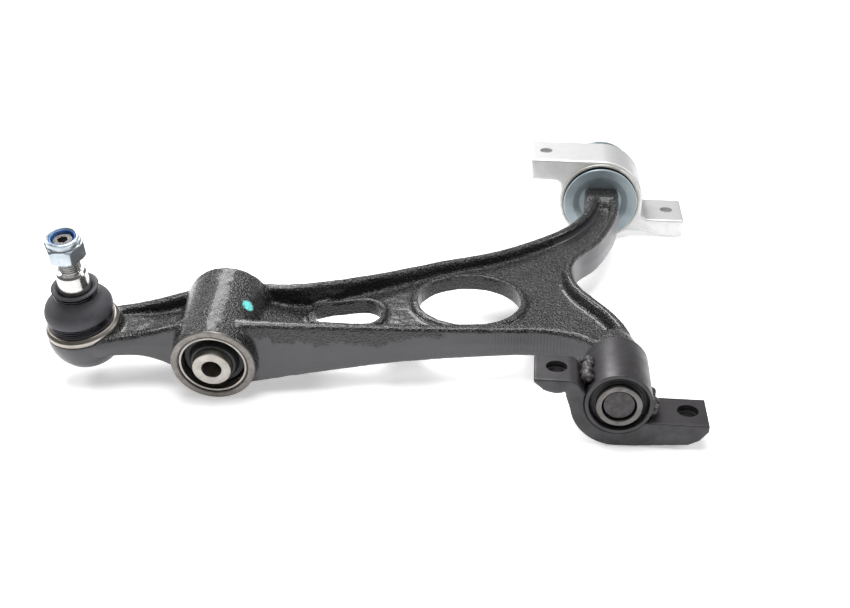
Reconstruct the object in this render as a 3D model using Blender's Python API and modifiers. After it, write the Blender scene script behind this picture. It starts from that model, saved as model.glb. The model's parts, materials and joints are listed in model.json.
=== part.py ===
"""Front lower control arm with ball joint, damper bush and two pivot brackets.

Sizes are in millimetres in the pivot frame: the two arm bushes turn about the Y axis through
X = Z = 0, Y = 0 is the near face of the front bush's inner sleeve, and the ball joint is at -X.
ORIGIN moves that frame so that the finished part is centred over the floor it stands on.
"""
import math

import bmesh
import bpy
from mathutils import Matrix, Vector

MM = 0.001
FLOOR = -30.0                       # height of the floor under the pivot axis
ORIGIN = Vector((-149.05, 189.25, FLOOR))
GAP = 0.3                           # clearance between pieces that touch

# Pivot axis, front bush and its stamped bracket
TUBE_R, TUBE_BORE = 20.3, 17.9
TUBE_Y0, TUBE_Y1 = 2.0, 47.5
SLEEVE_R, SLEEVE_BORE, SLEEVE_LENGTH = 13.6, 10.3, 48.5
JOURNAL_R = 10.0
PLATE_T = 3.5
EAR_BOLT_R = 6.5
LEFT_EAR_TOP, RIGHT_EAR_TOP = 14.5, -12.5
EAR_Y = 18.5
LEFT_EAR_X, RIGHT_EAR_X = -37.5, 43.0
BRACKET_Y0, BRACKET_Y1 = 3.0, 32.0

# Rear bush and its cast bracket
REAR_Y0, REAR_Y1 = 303.0, 346.0
HOUSING_R, HOUSING_BORE, HOUSING_TOP = 33.6, 28.2, 34.4
MACHINED_R, MACHINED_Y = 32.4, 301.5
REAR_SLEEVE_END, REAR_SHOULDER = 357.0, 364.8
REAR_SLEEVE_R, REAR_SLEEVE_BORE = 15.0, 10.4
WASHER_R, WASHER_T = 29.7, 2.4
REAR_LEFT_X, REAR_RIGHT_X = -45.5, 56.5
REAR_BOLT_R = 5.1

# Damper bush boss
BOSS_FACE = Vector((-252.1, 27.8, -3.2))
BOSS_AXIS = Vector((-0.050, 0.988, 0.144)).normalized()     # from the near face to the far face
BOSS_R0, BOSS_R1, BOSS_LENGTH = 26.9, 28.9, 67.5
BOSS_BORE = 21.8
BUSH_R, BUSH_WALL = 21.5, 1.6
BUSH_SLEEVE_R, BUSH_SLEEVE_BORE, BUSH_OVERHANG = 12.1, 6.3, 4.0

# Ball joint: housing axis and stud axis cross at the ball centre
RING_CENTRE = Vector((-343.7, 54.0, 8.9))
HOUSING_AXIS = Vector((-0.065, -0.218, 1.0)).normalized()
STUD_AXIS = Vector((0.019, -0.216, 1.0)).normalized()
BALL_DEPTH = 6.5
BALL_R, SEAT_R, CAVITY_R = 14.0, 17.8, 18.2
BALL = RING_CENTRE - BALL_DEPTH * HOUSING_AXIS
NUT_FLATS, NUT_BASE, NUT_TOP, HEX_TURN = 22.0, 59.0, 75.4, 19
STUD_R0, STUD_R1, THREAD_R = 10.4, 9.0, 6.9

# Arm casting
WEB_HALF = 3.6
ROUND_HOLE = (-95.5, 112.6, 35.0)
RIM_WIDTH, RIM_TOP, RIM_LOW = 3.6, 5.4, 4.2
# rib paths: x, y, thickness, half height
FRONT_RIB = [(-238, 41.5, 12, 22.5), (-199, 48.6, 9.5, 18.4), (-136, 61, 9, 13.1), (-73, 71.3, 11.5, 10.6),
             (-48, 73.8, 11.5, 10.6), (-28, 69.5, 11.5, 11), (-14, 60, 12, 11.8), (-7.5, 53.5, 10, 12)]
REAR_RIB = [(-246, 92, 10, 22), (-211, 98, 9.5, 19.6), (-165, 124, 8.8, 15.4), (-118.5, 155, 8.5, 12.6),
            (-77, 178, 8.5, 12), (-36, 214, 8.5, 12), (-15, 247, 8.5, 12), (-6, 280, 8.5, 12), (-3, 295, 8.5, 12)]
SIDE_RIB = [(10.5, 295, 8.5, 12.1), (7.5, 252, 8.5, 12.1), (-7, 205, 8.5, 12.1), (-23.5, 178, 8.5, 12.1),
            (-28.6, 152, 8.5, 12.1), (-22.5, 126.5, 8.5, 12.1), (-4, 96, 8.5, 12.1), (5.5, 73, 9, 12.1),
            (7, 53.5, 11, 12.1)]
NECK_FRONT_RIB = [(-332, 38, 10, 6.3), (-308, 45, 10, 8.2), (-294, 46.5, 10.5, 11), (-279, 46, 11, 16.3),
                  (-262, 44, 12, 20)]
NECK_REAR_RIB = [(-338, 74.5, 10, 7.5), (-314, 79, 9.5, 10.5), (-297, 82, 9.5, 14), (-281, 87, 9.5, 17),
                 (-262, 91, 10, 19)]
WEB_THICK_X = (-236, -188)          # the web thins from the boss to here


def clear_scene():
    for old in list(bpy.data.objects):
        bpy.data.objects.remove(old, do_unlink=True)


def world(p):
    return (Vector(p) - ORIGIN) * MM


def collection(name):
    made = bpy.data.collections.new(name)
    bpy.context.scene.collection.children.link(made)
    return made


def material(name, colour, roughness, metallic):
    made = bpy.data.materials.new(name)
    made.use_nodes = True
    shader = made.node_tree.nodes["Principled BSDF"]
    shader.inputs["Base Color"].default_value = (*colour, 1.0)
    shader.inputs["Roughness"].default_value = roughness
    shader.inputs["Metallic"].default_value = metallic
    return made


def add_object(name, mesh, look=None):
    """An object of the part, or a cutter when it has no material."""
    made = bpy.data.objects.new(name, mesh)
    if look is None:
        CUTTERS.objects.link(made)
        made.hide_render = True
        made.display_type = "WIRE"
    else:
        PARTS.objects.link(made)
        mesh.materials.append(look)
    return made


def close_mesh(bm, name):
    bmesh.ops.remove_doubles(bm, verts=bm.verts, dist=1e-6)
    bmesh.ops.recalc_face_normals(bm, faces=bm.faces)
    mesh = bpy.data.meshes.new(name)
    bm.to_mesh(mesh)
    bm.free()
    return mesh


def smooth(obj, angle=35):
    obj.data.shade_smooth()
    obj.data.set_sharp_from_angle(angle=math.radians(angle))


def boolean(obj, tool, operation):
    mod = obj.modifiers.new(tool.name, "BOOLEAN")
    mod.operation = operation
    mod.solver = "EXACT"
    mod.object = tool


def place(obj, centre, axis):
    """Put a piece drawn along +Z at a point of the pivot frame, along an axis."""
    turn = Vector((0, 0, 1)).rotation_difference(Vector(axis)).to_matrix().to_4x4()
    obj.matrix_world = Matrix.Translation(world(centre)) @ turn


def lathe(name, profile, centre, axis, steps, look=None):
    """Turn a profile of (radius, height) points, listed down the outer side, about an axis."""
    mesh = bpy.data.meshes.new(name)
    points = [(r * MM, 0, h * MM) for r, h in profile]
    closed = profile[0][0] > 0 or profile[-1][0] > 0
    edges = [(i, i + 1) for i in range(len(points) - 1)]
    if closed:
        edges.append((len(points) - 1, 0))
    mesh.from_pydata(points, edges, [])
    made = add_object(name, mesh, look)
    screw = made.modifiers.new("turn", "SCREW")
    screw.axis = "Z"
    screw.steps = screw.render_steps = steps
    screw.use_merge_vertices = True
    screw.merge_threshold = 0.00001
    screw.use_smooth_shade = True
    place(made, centre, axis)
    return made


def ring_profile(outer, inner, low, high, bevel=0.5):
    """Section of a turned ring with small outer bevels."""
    return [(outer - bevel, high), (outer, high - bevel), (outer, low + bevel), (outer - bevel, low),
            (inner, low), (inner, high)]


def tube_profile(outer, inner, low, high):
    return [(outer, high), (outer, low), (inner, low), (inner, high)]


def arc(cx, cy, radius, start, end, count):
    angles = [math.radians(start + (end - start) * i / count) for i in range(count + 1)]
    return [(cx + radius * math.cos(a), cy + radius * math.sin(a)) for a in angles]


def outline(name, points, low, high, look=None, upright=False):
    """Extrude a closed outline from low to high: along Z, or along Y when it is upright in XZ."""
    curve = bpy.data.curves.new(name, "CURVE")
    curve.dimensions = "2D"
    curve.fill_mode = "BOTH"
    curve.extrude = (high - low) / 2 * MM
    spline = curve.splines.new("POLY")
    spline.points.add(len(points) - 1)
    for slot, (x, y) in zip(spline.points, points):
        slot.co = (x * MM, y * MM, 0, 1)
    spline.use_cyclic_u = True
    drawn = bpy.data.objects.new(name + "_outline", curve)
    CUTTERS.objects.link(drawn)
    bpy.context.view_layer.update()
    mesh = bpy.data.meshes.new_from_object(drawn.evaluated_get(bpy.context.evaluated_depsgraph_get()))
    bpy.data.objects.remove(drawn, do_unlink=True)
    bpy.data.curves.remove(curve)
    bm = bmesh.new()
    bm.from_mesh(mesh)
    bpy.data.meshes.remove(mesh)
    made = add_object(name, close_mesh(bm, name), look)
    middle = (low + high) / 2
    if upright:
        made.matrix_world = Matrix.Translation(world((0, middle, 0))) @ Matrix.Rotation(math.pi / 2, 4, "X")
    else:
        made.matrix_world = Matrix.Translation(world((0, 0, middle)))
    return made


def spline_through(points, step):
    """Catmull-Rom samples, about one each step, through points of any length."""
    ends = [points[0]] + [tuple(p) for p in points] + [points[-1]]
    out = []
    for a, b, c, d in zip(ends, ends[1:], ends[2:], ends[3:]):
        span = math.dist(b[:2], c[:2])
        count = max(1, round(span / step))
        for i in range(count):
            t = i / count
            out.append([0.5 * (2 * q + (r - p) * t + (2 * p - 5 * q + 4 * r - s) * t * t
                               + (3 * q - p - 3 * r + s) * t ** 3) for p, q, r, s in zip(a, b, c, d)])
    out.append([float(v) for v in points[-1]])
    return out


def rib_section(thick, half, lean=0.9, corner=3.2):
    """Half of a rib's section, mirrored: upright sides with draft, rounded top and bottom."""
    edge = thick / 2
    top = edge - lean
    radius = min(corner, top * 0.85, half * 0.5)
    right = [(edge, 0.0)]
    for angle in (0, 45, 90):
        a = math.radians(angle)
        right.append((top - radius + radius * math.cos(a), half - radius + radius * math.sin(a)))
    upper = right + [(-s, z) for s, z in reversed(right)]
    return upper + [(s, -z) for s, z in reversed(upper[1:-1])]


def loft(name, rings, look=None):
    """Close a solid over rings that have the same number of points."""
    bm = bmesh.new()
    made = [[bm.verts.new(world(p)) for p in ring] for ring in rings]
    for low, high in zip(made, made[1:]):
        for i in range(len(low)):
            j = (i + 1) % len(low)
            bm.faces.new((low[i], low[j], high[j], high[i]))
    bm.faces.new(made[0])
    bm.faces.new(list(reversed(made[-1])))
    bmesh.ops.triangulate(bm, faces=bm.faces[:])
    return add_object(name, close_mesh(bm, name), look)


def rib(name, path, step=16):
    """Sweep a rib's section along its path in plan."""
    stations = spline_through(path, step)
    rings = []
    for i, (x, y, thick, half) in enumerate(stations):
        before, after = stations[max(i - 1, 0)], stations[min(i + 1, len(stations) - 1)]
        along = Vector((after[0] - before[0], after[1] - before[1])).normalized()
        across = Vector((along.y, -along.x))
        rings.append([(x + across.x * s, y + across.y * s, z) for s, z in rib_section(thick, half)])
    return loft(name, rings)


def grow(points, distance):
    """Move each point of a closed anticlockwise outline outwards."""
    out = []
    count = len(points)
    for i, (x, y) in enumerate(points):
        before, after = points[i - 1], points[(i + 1) % count]
        along = Vector((after[0] - before[0], after[1] - before[1])).normalized()
        out.append((x + along.y * distance, y - along.x * distance))
    return out


def slot_outline():
    """The smaller lightening hole: a rounded wedge that widens towards the pivot."""
    return (arc(-188.5, 82.5, 9.5, 150, 270, 6) + arc(-165, 85.5, 12.5, 270, 360, 5)
            + arc(-165.5, 92.5, 13, 0, 112, 6) + arc(-187, 88, 11.5, 118, 150, 2))


def web_outline():
    front = [(x, y) for x, y, _, _ in spline_through(FRONT_RIB, 20)]
    side = [(x, y) for x, y, _, _ in reversed(spline_through(SIDE_RIB, 20))]
    rear = [(x, y) for x, y, _, _ in reversed(spline_through(REAR_RIB, 20))]
    return front + side + rear


def arm_forging(look):
    """The arm: web and ribs, ball housing, damper boss and the two journals, in one casting."""
    arm = outline("arm_forging", web_outline(), -WEB_HALF, WEB_HALF, look)
    cx, cy, radius = ROUND_HOLE
    rims = [outline("round_hole_rim", arc(cx, cy, radius + RIM_WIDTH, 0, 350, 35), -RIM_LOW, RIM_TOP),
            outline("slot_rim", grow(slot_outline(), 3.0), -RIM_LOW + 0.1, RIM_TOP - 0.2)]
    holes = [outline("round_hole", arc(cx, cy, radius, 0, 350, 35), -20, 20),
             outline("slot", slot_outline(), -20, 20)]
    for tool in rims:
        boolean(arm, tool, "UNION")
    for tool in (rib("front_rib", FRONT_RIB), rib("rear_rib", REAR_RIB), rib("side_rib", SIDE_RIB),
                 rib("neck_front_rib", NECK_FRONT_RIB, 12), rib("neck_rear_rib", NECK_REAR_RIB, 12),
                 neck_web(), boss_shoulder(), front_knuckle(), rear_knuckle(), rear_end_block(),
                 boss_barrel(), ball_housing()):
        boolean(arm, tool, "UNION")
    for tool in holes:
        boolean(arm, tool, "DIFFERENCE")
    boolean(arm, bar("boss_bore", BOSS_FACE - 20 * BOSS_AXIS, BOSS_AXIS, BOSS_BORE, BOSS_LENGTH + 40, 36),
            "DIFFERENCE")
    boolean(arm, bar("ring_seat", RING_CENTRE - 2.4 * HOUSING_AXIS, HOUSING_AXIS, 24.4, 30, 30), "DIFFERENCE")
    boolean(arm, ball_cavity(), "DIFFERENCE")
    smooth(arm, 40)
    return arm


def bar(name, start, axis, radius, length, steps, look=None):
    profile = [(0, length), (radius, length), (radius, 0), (0, 0)]
    return lathe(name, profile, start, axis, steps, look)


def neck_web():
    """Web between the two neck ribs, a little thicker at the boss."""
    stations = [(-336, 40, 72, 4.5), (-300, 47, 81, 4.6), (-280, 47, 86, 7), (-262, 45, 88, 13)]
    rings = []
    for x, near, far, half in stations:
        rings.append([(x, near, -half), (x, far, -half), (x, far, half), (x, near, half)])
    return loft("neck_web", rings)


def boss_shoulder():
    """The web's thick root beside the boss, falling to the web's own thickness."""
    rings = []
    x0, x1 = WEB_THICK_X
    for part in (0, 0.25, 0.5, 0.75, 1.0):
        x = x0 + (x1 - x0) * part
        half = WEB_HALF - 0.5 + 12.5 * (1 - part) ** 1.8
        near, far = 47 + 6 * part, 92 + 12 * part
        rings.append([(x, near, -half), (x, (near + far) / 2, -half - 1.5 * (1 - part)), (x, far, -half * 0.8),
                      (x, far, half * 0.8), (x, (near + far) / 2, half + 1.5 * (1 - part)), (x, near, half)])
    return loft("boss_shoulder", rings)


def front_knuckle():
    """End of the front leg, with the journal that the front bush is pressed on."""
    y0 = SLEEVE_LENGTH + GAP
    profile = [(0, 78), (9, 76), (13.5, 70), (15.2, 62), (15.4, y0 + 3), (14.4, y0), (JOURNAL_R, y0),
               (JOURNAL_R, 2.6), (JOURNAL_R - 1, 1.6), (0, 1.6)]
    return lathe("front_knuckle", profile, (0, 0, 0), (0, 1, 0), 28)


def rear_knuckle():
    """End of the rear leg, with the journal for the rear bush, its washers and its nut."""
    end = 378.5
    profile = [(0, end), (6.4, end), (7.4, end - 1), (7.4, REAR_SHOULDER - 5), (JOURNAL_R, REAR_SHOULDER - 5.4),
               (JOURNAL_R, 290), (0, 288)]
    return lathe("rear_knuckle", profile, (0, 0, 0), (0, 1, 0), 28)


def rear_end_block():
    """Squared end of the rear leg, where its two ribs meet in front of the washer."""
    rings = []
    for y, half_x, half_z in ((283, 11.5, 4), (289, 13.2, 12.6), (299.5, 13.5, 12.9), (301, 12.6, 12.0)):
        rings.append([(0.4 + half_x * sx, y, half_z * sz)
                      for sx, sz in ((1, 0.8), (0.85, 1), (-0.85, 1), (-1, 0.8), (-1, -0.8), (-0.85, -1), (0.85, -1),
                                     (1, -0.8))])
    return loft("rear_end_block", rings)


def boss_barrel():
    profile = [(0, BOSS_LENGTH), (BOSS_R1 - 1.2, BOSS_LENGTH), (BOSS_R1, BOSS_LENGTH - 1.2),
               (BOSS_R0 - 0.6, 7), (BOSS_R0, 4.0), (BOSS_R0, 0.8), (BOSS_R0 - 0.8, 0), (0, 0)]
    return lathe("boss_barrel", profile, BOSS_FACE, BOSS_AXIS, 36)


def ball_housing():
    profile = [(0, -1.8), (23.2, -1.8), (24.2, -3.2), (24.6, -7), (24.1, -12), (22.4, -17.5), (18.6, -23.5),
               (13, -28), (6.5, -30.3), (0, -30.8)]
    return lathe("ball_housing", profile, RING_CENTRE, HOUSING_AXIS, 32)


def ball_cavity():
    profile = [(0, 4), (CAVITY_R, 4), (CAVITY_R, -20), (15.5, -23), (0, -23)]
    return lathe("ball_cavity", profile, RING_CENTRE, HOUSING_AXIS, 28)


def damper_bush(steel, bare, rubber):
    """Steel outer sleeve, rubber and inner sleeve of the damper fork's bush."""
    face, far = 0.5, BOSS_LENGTH - 0.5
    wall = BUSH_R - BUSH_WALL
    lathe("damper_bush_outer_sleeve", tube_profile(BUSH_R, wall, face, far), BOSS_FACE, BOSS_AXIS, 36, steel)
    profile = [(BUSH_SLEEVE_R + GAP, far - 1), (BUSH_SLEEVE_R + 2, far - 1.5), (BUSH_SLEEVE_R + 3, far - 7),
               (wall - GAP, far - 6), (wall - GAP, 6.5), (BUSH_SLEEVE_R + 3.4, 8), (BUSH_SLEEVE_R + 2.2, 2),
               (BUSH_SLEEVE_R + GAP, 1.2)]
    lathe("damper_bush_rubber", profile, BOSS_FACE, BOSS_AXIS, 28, rubber)
    lathe("damper_bush_inner_sleeve",
          ring_profile(BUSH_SLEEVE_R, BUSH_SLEEVE_BORE, -BUSH_OVERHANG, BOSS_LENGTH + BUSH_OVERHANG),
          BOSS_FACE, BOSS_AXIS, 28, bare)


def sphere_arc(radius, start, end, count):
    """Points (radius, height) on a sphere about the ball centre, from start to end degrees of elevation."""
    return [(radius * math.cos(math.radians(start + (end - start) * i / count)),
             radius * math.sin(math.radians(start + (end - start) * i / count))) for i in range(count + 1)]


def ball_joint(steel, bright, rubber, plastic, black, zinc, nylon):
    """Seat, closing ring, boot with its clamp rings, and the stud with its lock nut."""
    seat_low, seat_high = -15.6, BALL_DEPTH - 2.4
    inner = sphere_arc(BALL_R + 0.5, 17, -62, 5)
    profile = [(SEAT_R, seat_high), (SEAT_R, -12.6), (14.5, seat_low), (6.8, seat_low)] + list(reversed(inner))
    lathe("ball_seat", profile, BALL, HOUSING_AXIS, 24, plastic)
    ring = [(22.2, 2.6), (23.8, 0.9), (23.8, -1.9), (17.2, -1.9), (17.2, 2.6)]
    lathe("retaining_ring", ring, RING_CENTRE, HOUSING_AXIS, 32, bright)
    band(name="boot_lower_ring", centre=RING_CENTRE, axis=HOUSING_AXIS, height=5.0, radius=20.8, wire=0.9, look=black)
    band(name="boot_upper_ring", centre=BALL, axis=STUD_AXIS, height=33.2, radius=14.0, wire=0.8, look=black)
    boot(rubber)
    stud(bright)
    lock_nut(zinc, nylon)


def band(name, centre, axis, height, radius, wire, look):
    """Round clamp ring that holds the boot."""
    profile = [(radius + wire * math.cos(math.radians(a)), height + wire * math.sin(math.radians(a)))
               for a in (90, 0, -90, 180)]
    lathe(name, profile, centre, axis, 28, look)


def boot_ring(height, radius, count=26):
    """A circle of the boot: it follows the housing at the bottom and the stud at the top."""
    blend = min(max((height - 11.0) / 20.0, 0.0), 1.0)
    axis = HOUSING_AXIS.lerp(STUD_AXIS, blend).normalized()
    middle = BALL + axis * height
    side = axis.cross(Vector((0, 1, 0))).normalized()
    other = axis.cross(side)
    return [middle + radius * (math.cos(2 * math.pi * i / count) * side + math.sin(2 * math.pi * i / count) * other)
            for i in range(count)]


def boot_shell(name, outer, inner, look):
    """A boot wall between an outer and an inner profile of (radius, height), open at both ends."""
    rings = [boot_ring(h, r) for r, h in outer] + [boot_ring(h, r) for r, h in reversed(inner)]
    bm = bmesh.new()
    made = [[bm.verts.new(world(p)) for p in ring] for ring in rings]
    for low, high in zip(made, made[1:] + made[:1]):
        for i in range(len(low)):
            j = (i + 1) % len(low)
            bm.faces.new((low[i], low[j], high[j], high[i]))
    made = add_object(name, close_mesh(bm, name), look)
    smooth(made, 50)
    return made


def boot(look):
    """Rubber boot: a round bellows, and the collar that seals on the stud."""
    outer = [(20.6, 9.4), (19.6, 10.4), (19.6, 12.6), (20.8, 14.2), (21.2, 18.0), (20.4, 22.0), (18.2, 25.8),
             (14.4, 30.0)]
    inner = [(17.6, 9.4), (17.6, 13.5), (19.1, 16.0), (18.6, 21.0), (16.2, 24.8), (12.6, 28.8)]
    boot_shell("boot_bellows", outer, inner, look)
    outer = [(14.3, 30.4), (13.0, 31.6), (13.0, 34.8), (14.0, 36.2), (13.8, 37.6)]
    inner = [(11.6, 30.2), (10.75, 32.0), (10.75, 35.5), (11.8, 37.6)]
    boot_shell("boot_collar", outer, inner, look)


def stud(look):
    """Ball, neck and taper, and the threaded end with its hexagon socket."""
    ball = sphere_arc(BALL_R, -52, 52, 8)
    shank = [(THREAD_R - 0.9, 73.0), (THREAD_R, 72.1), (THREAD_R, 50.8), (6.1, 50.2), (6.1, 48.9), (8.2, 48.6),
             (STUD_R1, 47.6), (STUD_R0, 36.5), (STUD_R0, 31.0), (8.4, 22.0), (8.4, 12.2)]
    profile = [(0, 73.0)] + shank + list(reversed(ball)) + [(0, -BALL_R * math.sin(math.radians(52)))]
    made = lathe("ball_stud", profile, BALL, STUD_AXIS, 24, look)
    socket = prism("stud_socket", 3.0, 68.0, 80.0)
    boolean(made, socket, "DIFFERENCE")


def prism(name, inradius, low, high, look=None):
    """Hexagonal bar along the stud, with one corner turned a little to the pivot side."""
    radius = inradius / math.cos(math.pi / 6)
    bm = bmesh.new()
    bmesh.ops.create_cone(bm, cap_ends=True, segments=6, radius1=radius * MM, radius2=radius * MM,
                          depth=(high - low) * MM)
    made = add_object(name, close_mesh(bm, name), look)
    place(made, BALL + STUD_AXIS * (low + high) / 2, STUD_AXIS)
    made.matrix_world = made.matrix_world @ Matrix.Rotation(math.radians(HEX_TURN), 4, "Z")
    return made


def lock_nut(zinc, nylon):
    """Hexagon nut with a rolled collar that holds a nylon ring."""
    nut = prism("stud_nut", NUT_FLATS / 2, NUT_BASE, NUT_BASE + 11.6, zinc)
    crown = lathe("nut_crown", [(0, NUT_TOP), (8.9, NUT_TOP), (10.2, NUT_TOP - 1.3), (10.2, 70.5), (13.4, 68.8),
                                (13.4, 60.8), (11.2, NUT_BASE - 0.1), (0, NUT_BASE - 0.1)], BALL, STUD_AXIS, 24)
    collar = lathe("nut_collar", [(0, NUT_TOP), (8.9, NUT_TOP), (10.2, NUT_TOP - 1.3), (10.2, 69.5), (0, 69.5)],
                   BALL, STUD_AXIS, 24)
    boolean(nut, crown, "INTERSECT")
    boolean(nut, collar, "UNION")
    boolean(nut, lathe("nut_bore", [(0, 90), (7.6, 90), (7.6, 74.8), (8.8, 74.4), (8.8, 70.9), (THREAD_R + GAP, 70.9),
                                    (THREAD_R + GAP, 50), (0, 50)], BALL, STUD_AXIS, 20), "DIFFERENCE")
    smooth(nut, 25)
    lathe("nylon_insert", [(8.5, 74.1), (8.5, 71.2), (THREAD_R + GAP, 71.2), (THREAD_R + GAP, 74.1)],
          BALL, STUD_AXIS, 24, nylon)


def saddle_outline():
    """XZ section of the stamped plate: high left ear, round seat for the tube, low right ear."""
    seat = TUBE_R + GAP
    under = seat + PLATE_T
    top = [(-51, LEFT_EAR_TOP), (-30, LEFT_EAR_TOP)] + arc(-30, LEFT_EAR_TOP - 7.2, 7.2, 60, 20, 2)
    inner = arc(0, 0, seat, 164, 323, 12)
    right = [(20.5, RIGHT_EAR_TOP), (54.5, RIGHT_EAR_TOP), (54.5, RIGHT_EAR_TOP - PLATE_T),
             (22, RIGHT_EAR_TOP - PLATE_T)]
    outer = arc(0, 0, under, 318, 172, 12)
    end = arc(-29.8, LEFT_EAR_TOP - PLATE_T - 3.2, 3.2, 20, 90, 2) + [(-51, LEFT_EAR_TOP - PLATE_T)]
    return top + inner + right + outer + end


def flange_outline():
    """XZ shape of the turned-down front edge that stiffens the plate, down to the floor."""
    seat = TUBE_R + GAP
    lower = arc(0, -1.2, 28.8, 270, 190, 8)
    return ([(-51, LEFT_EAR_TOP - 1), (-30, LEFT_EAR_TOP - 1)] + arc(0, 0, seat, 164, 323, 12)
            + [(20.5, RIGHT_EAR_TOP - 1), (54.5, RIGHT_EAR_TOP - 1), (54.5, -17), (49.5, -23.5), (43, -27), (12, FLOOR + 0.5)]
            + lower + [(-31.5, 3.5), (-31.5, 6.2), (-44.5, 6.6), (-51, 12.4)])


def front_bracket(black, steel, rubber, weld):
    """Stamped saddle welded under a tube, with the front bush pressed into the tube."""
    plate = outline("front_bracket_plate", saddle_outline(), BRACKET_Y0, BRACKET_Y1, black, upright=True)
    flange = outline("front_flange", flange_outline(), BRACKET_Y0 - 0.2, BRACKET_Y0 + PLATE_T, upright=True)
    boolean(plate, flange, "UNION")
    for name, x, top in (("left", LEFT_EAR_X, LEFT_EAR_TOP), ("right", RIGHT_EAR_X, RIGHT_EAR_TOP)):
        drill = bar(name + "_ear_hole", (x, EAR_Y, top - 8), (0, 0, 1), EAR_BOLT_R, 16, 28)
        boolean(plate, drill, "DIFFERENCE")
    lathe("front_bracket_tube", ring_profile(TUBE_R, TUBE_BORE, TUBE_Y0, TUBE_Y1, 0.8), (0, 0, 0), (0, 1, 0), 36, black)
    weld_bead("weld_bead_upper", 146, 8.5, 32, weld)
    weld_bead("weld_bead_lower", -22, 8.5, 32, weld)
    for name, x, top in (("weld_nut_outer", LEFT_EAR_X, LEFT_EAR_TOP), ("weld_nut_inner", RIGHT_EAR_X, RIGHT_EAR_TOP)):
        weld_nut(name, x, top - PLATE_T - GAP, black)
    lip = [(TUBE_BORE - GAP, 44.5), (TUBE_BORE - GAP, 5.5), (SLEEVE_R + 1.6, 4.5), (SLEEVE_R + GAP, 3.2),
           (SLEEVE_R + GAP, 46.2), (SLEEVE_R + 1.6, 45.6)]
    lathe("front_bush_rubber", lip, (0, 0, 0), (0, 1, 0), 28, rubber)
    lathe("front_bush_inner_sleeve", ring_profile(SLEEVE_R, SLEEVE_BORE, 0, SLEEVE_LENGTH, 0.6), (0, 0, 0), (0, 1, 0),
          28, steel)


def weld_bead(name, angle, y0, y1, look):
    """Row of overlapping ripples along the tube at an angle about the pivot axis."""
    radius = 2.6
    reach = TUBE_R + GAP + radius + 0.5
    x, z = reach * math.cos(math.radians(angle)), reach * math.sin(math.radians(angle))
    rings = []
    count = 12
    for i in range(count + 1):
        y = y0 + (y1 - y0) * i / count
        size = radius * (0.55 if i in (0, count) else 1.0 - 0.12 * (i % 2))
        rings.append([(x + size * math.cos(math.radians(a)), y, z + size * math.sin(math.radians(a)))
                      for a in range(0, 360, 45)])
    smooth(loft(name, rings, look), 60)


def weld_nut(name, x, top, look):
    """Hexagon nut welded under an ear."""
    height = 9.5
    bm = bmesh.new()
    bmesh.ops.create_cone(bm, cap_ends=True, segments=6, radius1=10 * MM, radius2=10 * MM, depth=height * MM)
    made = add_object(name, close_mesh(bm, name), look)
    place(made, (x, EAR_Y, top - height / 2), (0, 0, 1))
    boolean(made, bar(name + "_bore", (x, EAR_Y, top - height - 2), (0, 0, 1), 5.4, height + 4, 24), "DIFFERENCE")


def casting_outline():
    """XZ section of the cast bracket: raised left block, round housing, low right foot."""
    left = [(-58, HOUSING_TOP), (-56.5, 16.5), (-38, 16.5)] + arc(-38, 11.5, 5.0, 90, 20, 2)
    around = arc(0, 0, HOUSING_R, 166, 240, 8)
    foot = [(-15, FLOOR), (15, FLOOR), (19, -27.6), (23, -25.6), (40, -25.6), (46, -29.3),
            (68.6, -29.3), (69.7, -14.6), (41, -14.6)]
    right = arc(40, -8.6, 6.0, 268, 192, 3) + arc(0, 0, HOUSING_TOP, 356, 448, 9)
    return left + around + foot + right


def rear_bracket(cast, band_steel, rubber, steel, zinc):
    """Cast bracket, the bush pressed into it, and the washers and nut on the rear journal."""
    casting = outline("rear_bracket_casting", casting_outline(), REAR_Y0, REAR_Y1, cast, upright=True)
    machined = outline("machined_face", arc(0, 0, MACHINED_R, -65, 245, 27), MACHINED_Y, REAR_Y0 + 5, upright=True)
    boolean(casting, machined, "UNION")
    mouth = HOUSING_BORE + 1.0
    profile = [(0, 360), (HOUSING_BORE, 360), (HOUSING_BORE, REAR_Y0 + 1), (mouth, MACHINED_Y), (mouth, 290), (0, 290)]
    boolean(casting, lathe("housing_bore", profile, (0, 0, 0), (0, 1, 0), 36), "DIFFERENCE")
    for name, x, low in (("left", REAR_LEFT_X, 0), ("right", REAR_RIGHT_X, -50)):
        drill = bar("rear_" + name + "_hole", (x, (REAR_Y0 + REAR_Y1) / 2, low), (0, 0, 1), REAR_BOLT_R, 60, 24)
        boolean(casting, drill, "DIFFERENCE")
    lathe("rear_bush_outer_sleeve", tube_profile(HOUSING_BORE - GAP, 26.4, REAR_Y0 + 1, REAR_Y1 + 1),
          (0, 0, 0), (0, 1, 0), 36, band_steel)
    profile = [(26.1, REAR_Y1 - 1), (26.1, REAR_Y0 + 1.4), (24, REAR_Y0), (REAR_SLEEVE_R + 2, REAR_Y0 + 2.4),
               (REAR_SLEEVE_R + GAP, REAR_Y0 + 2.4), (REAR_SLEEVE_R + GAP, REAR_Y1 + 3),
               (REAR_SLEEVE_R + 3, REAR_Y1 + 3), (24, REAR_Y1 + 2)]
    lathe("rear_bush_rubber", profile, (0, 0, 0), (0, 1, 0), 28, rubber)
    sleeve = tube_profile(REAR_SLEEVE_R, REAR_SLEEVE_BORE, REAR_Y0 + 1.6, REAR_SLEEVE_END)
    lathe("rear_bush_inner_sleeve", sleeve, (0, 0, 0), (0, 1, 0), 28, steel)
    dish("rear_washer_front", REAR_Y0 + 1.2, -1, zinc)
    dish("rear_washer_back", REAR_SLEEVE_END + GAP, 1, zinc)
    nut_start = REAR_SLEEVE_END + 2 * GAP + WASHER_T
    hex_nut("rear_journal_nut", nut_start, 24.0, 14.0, 7.7, zinc)


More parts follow.
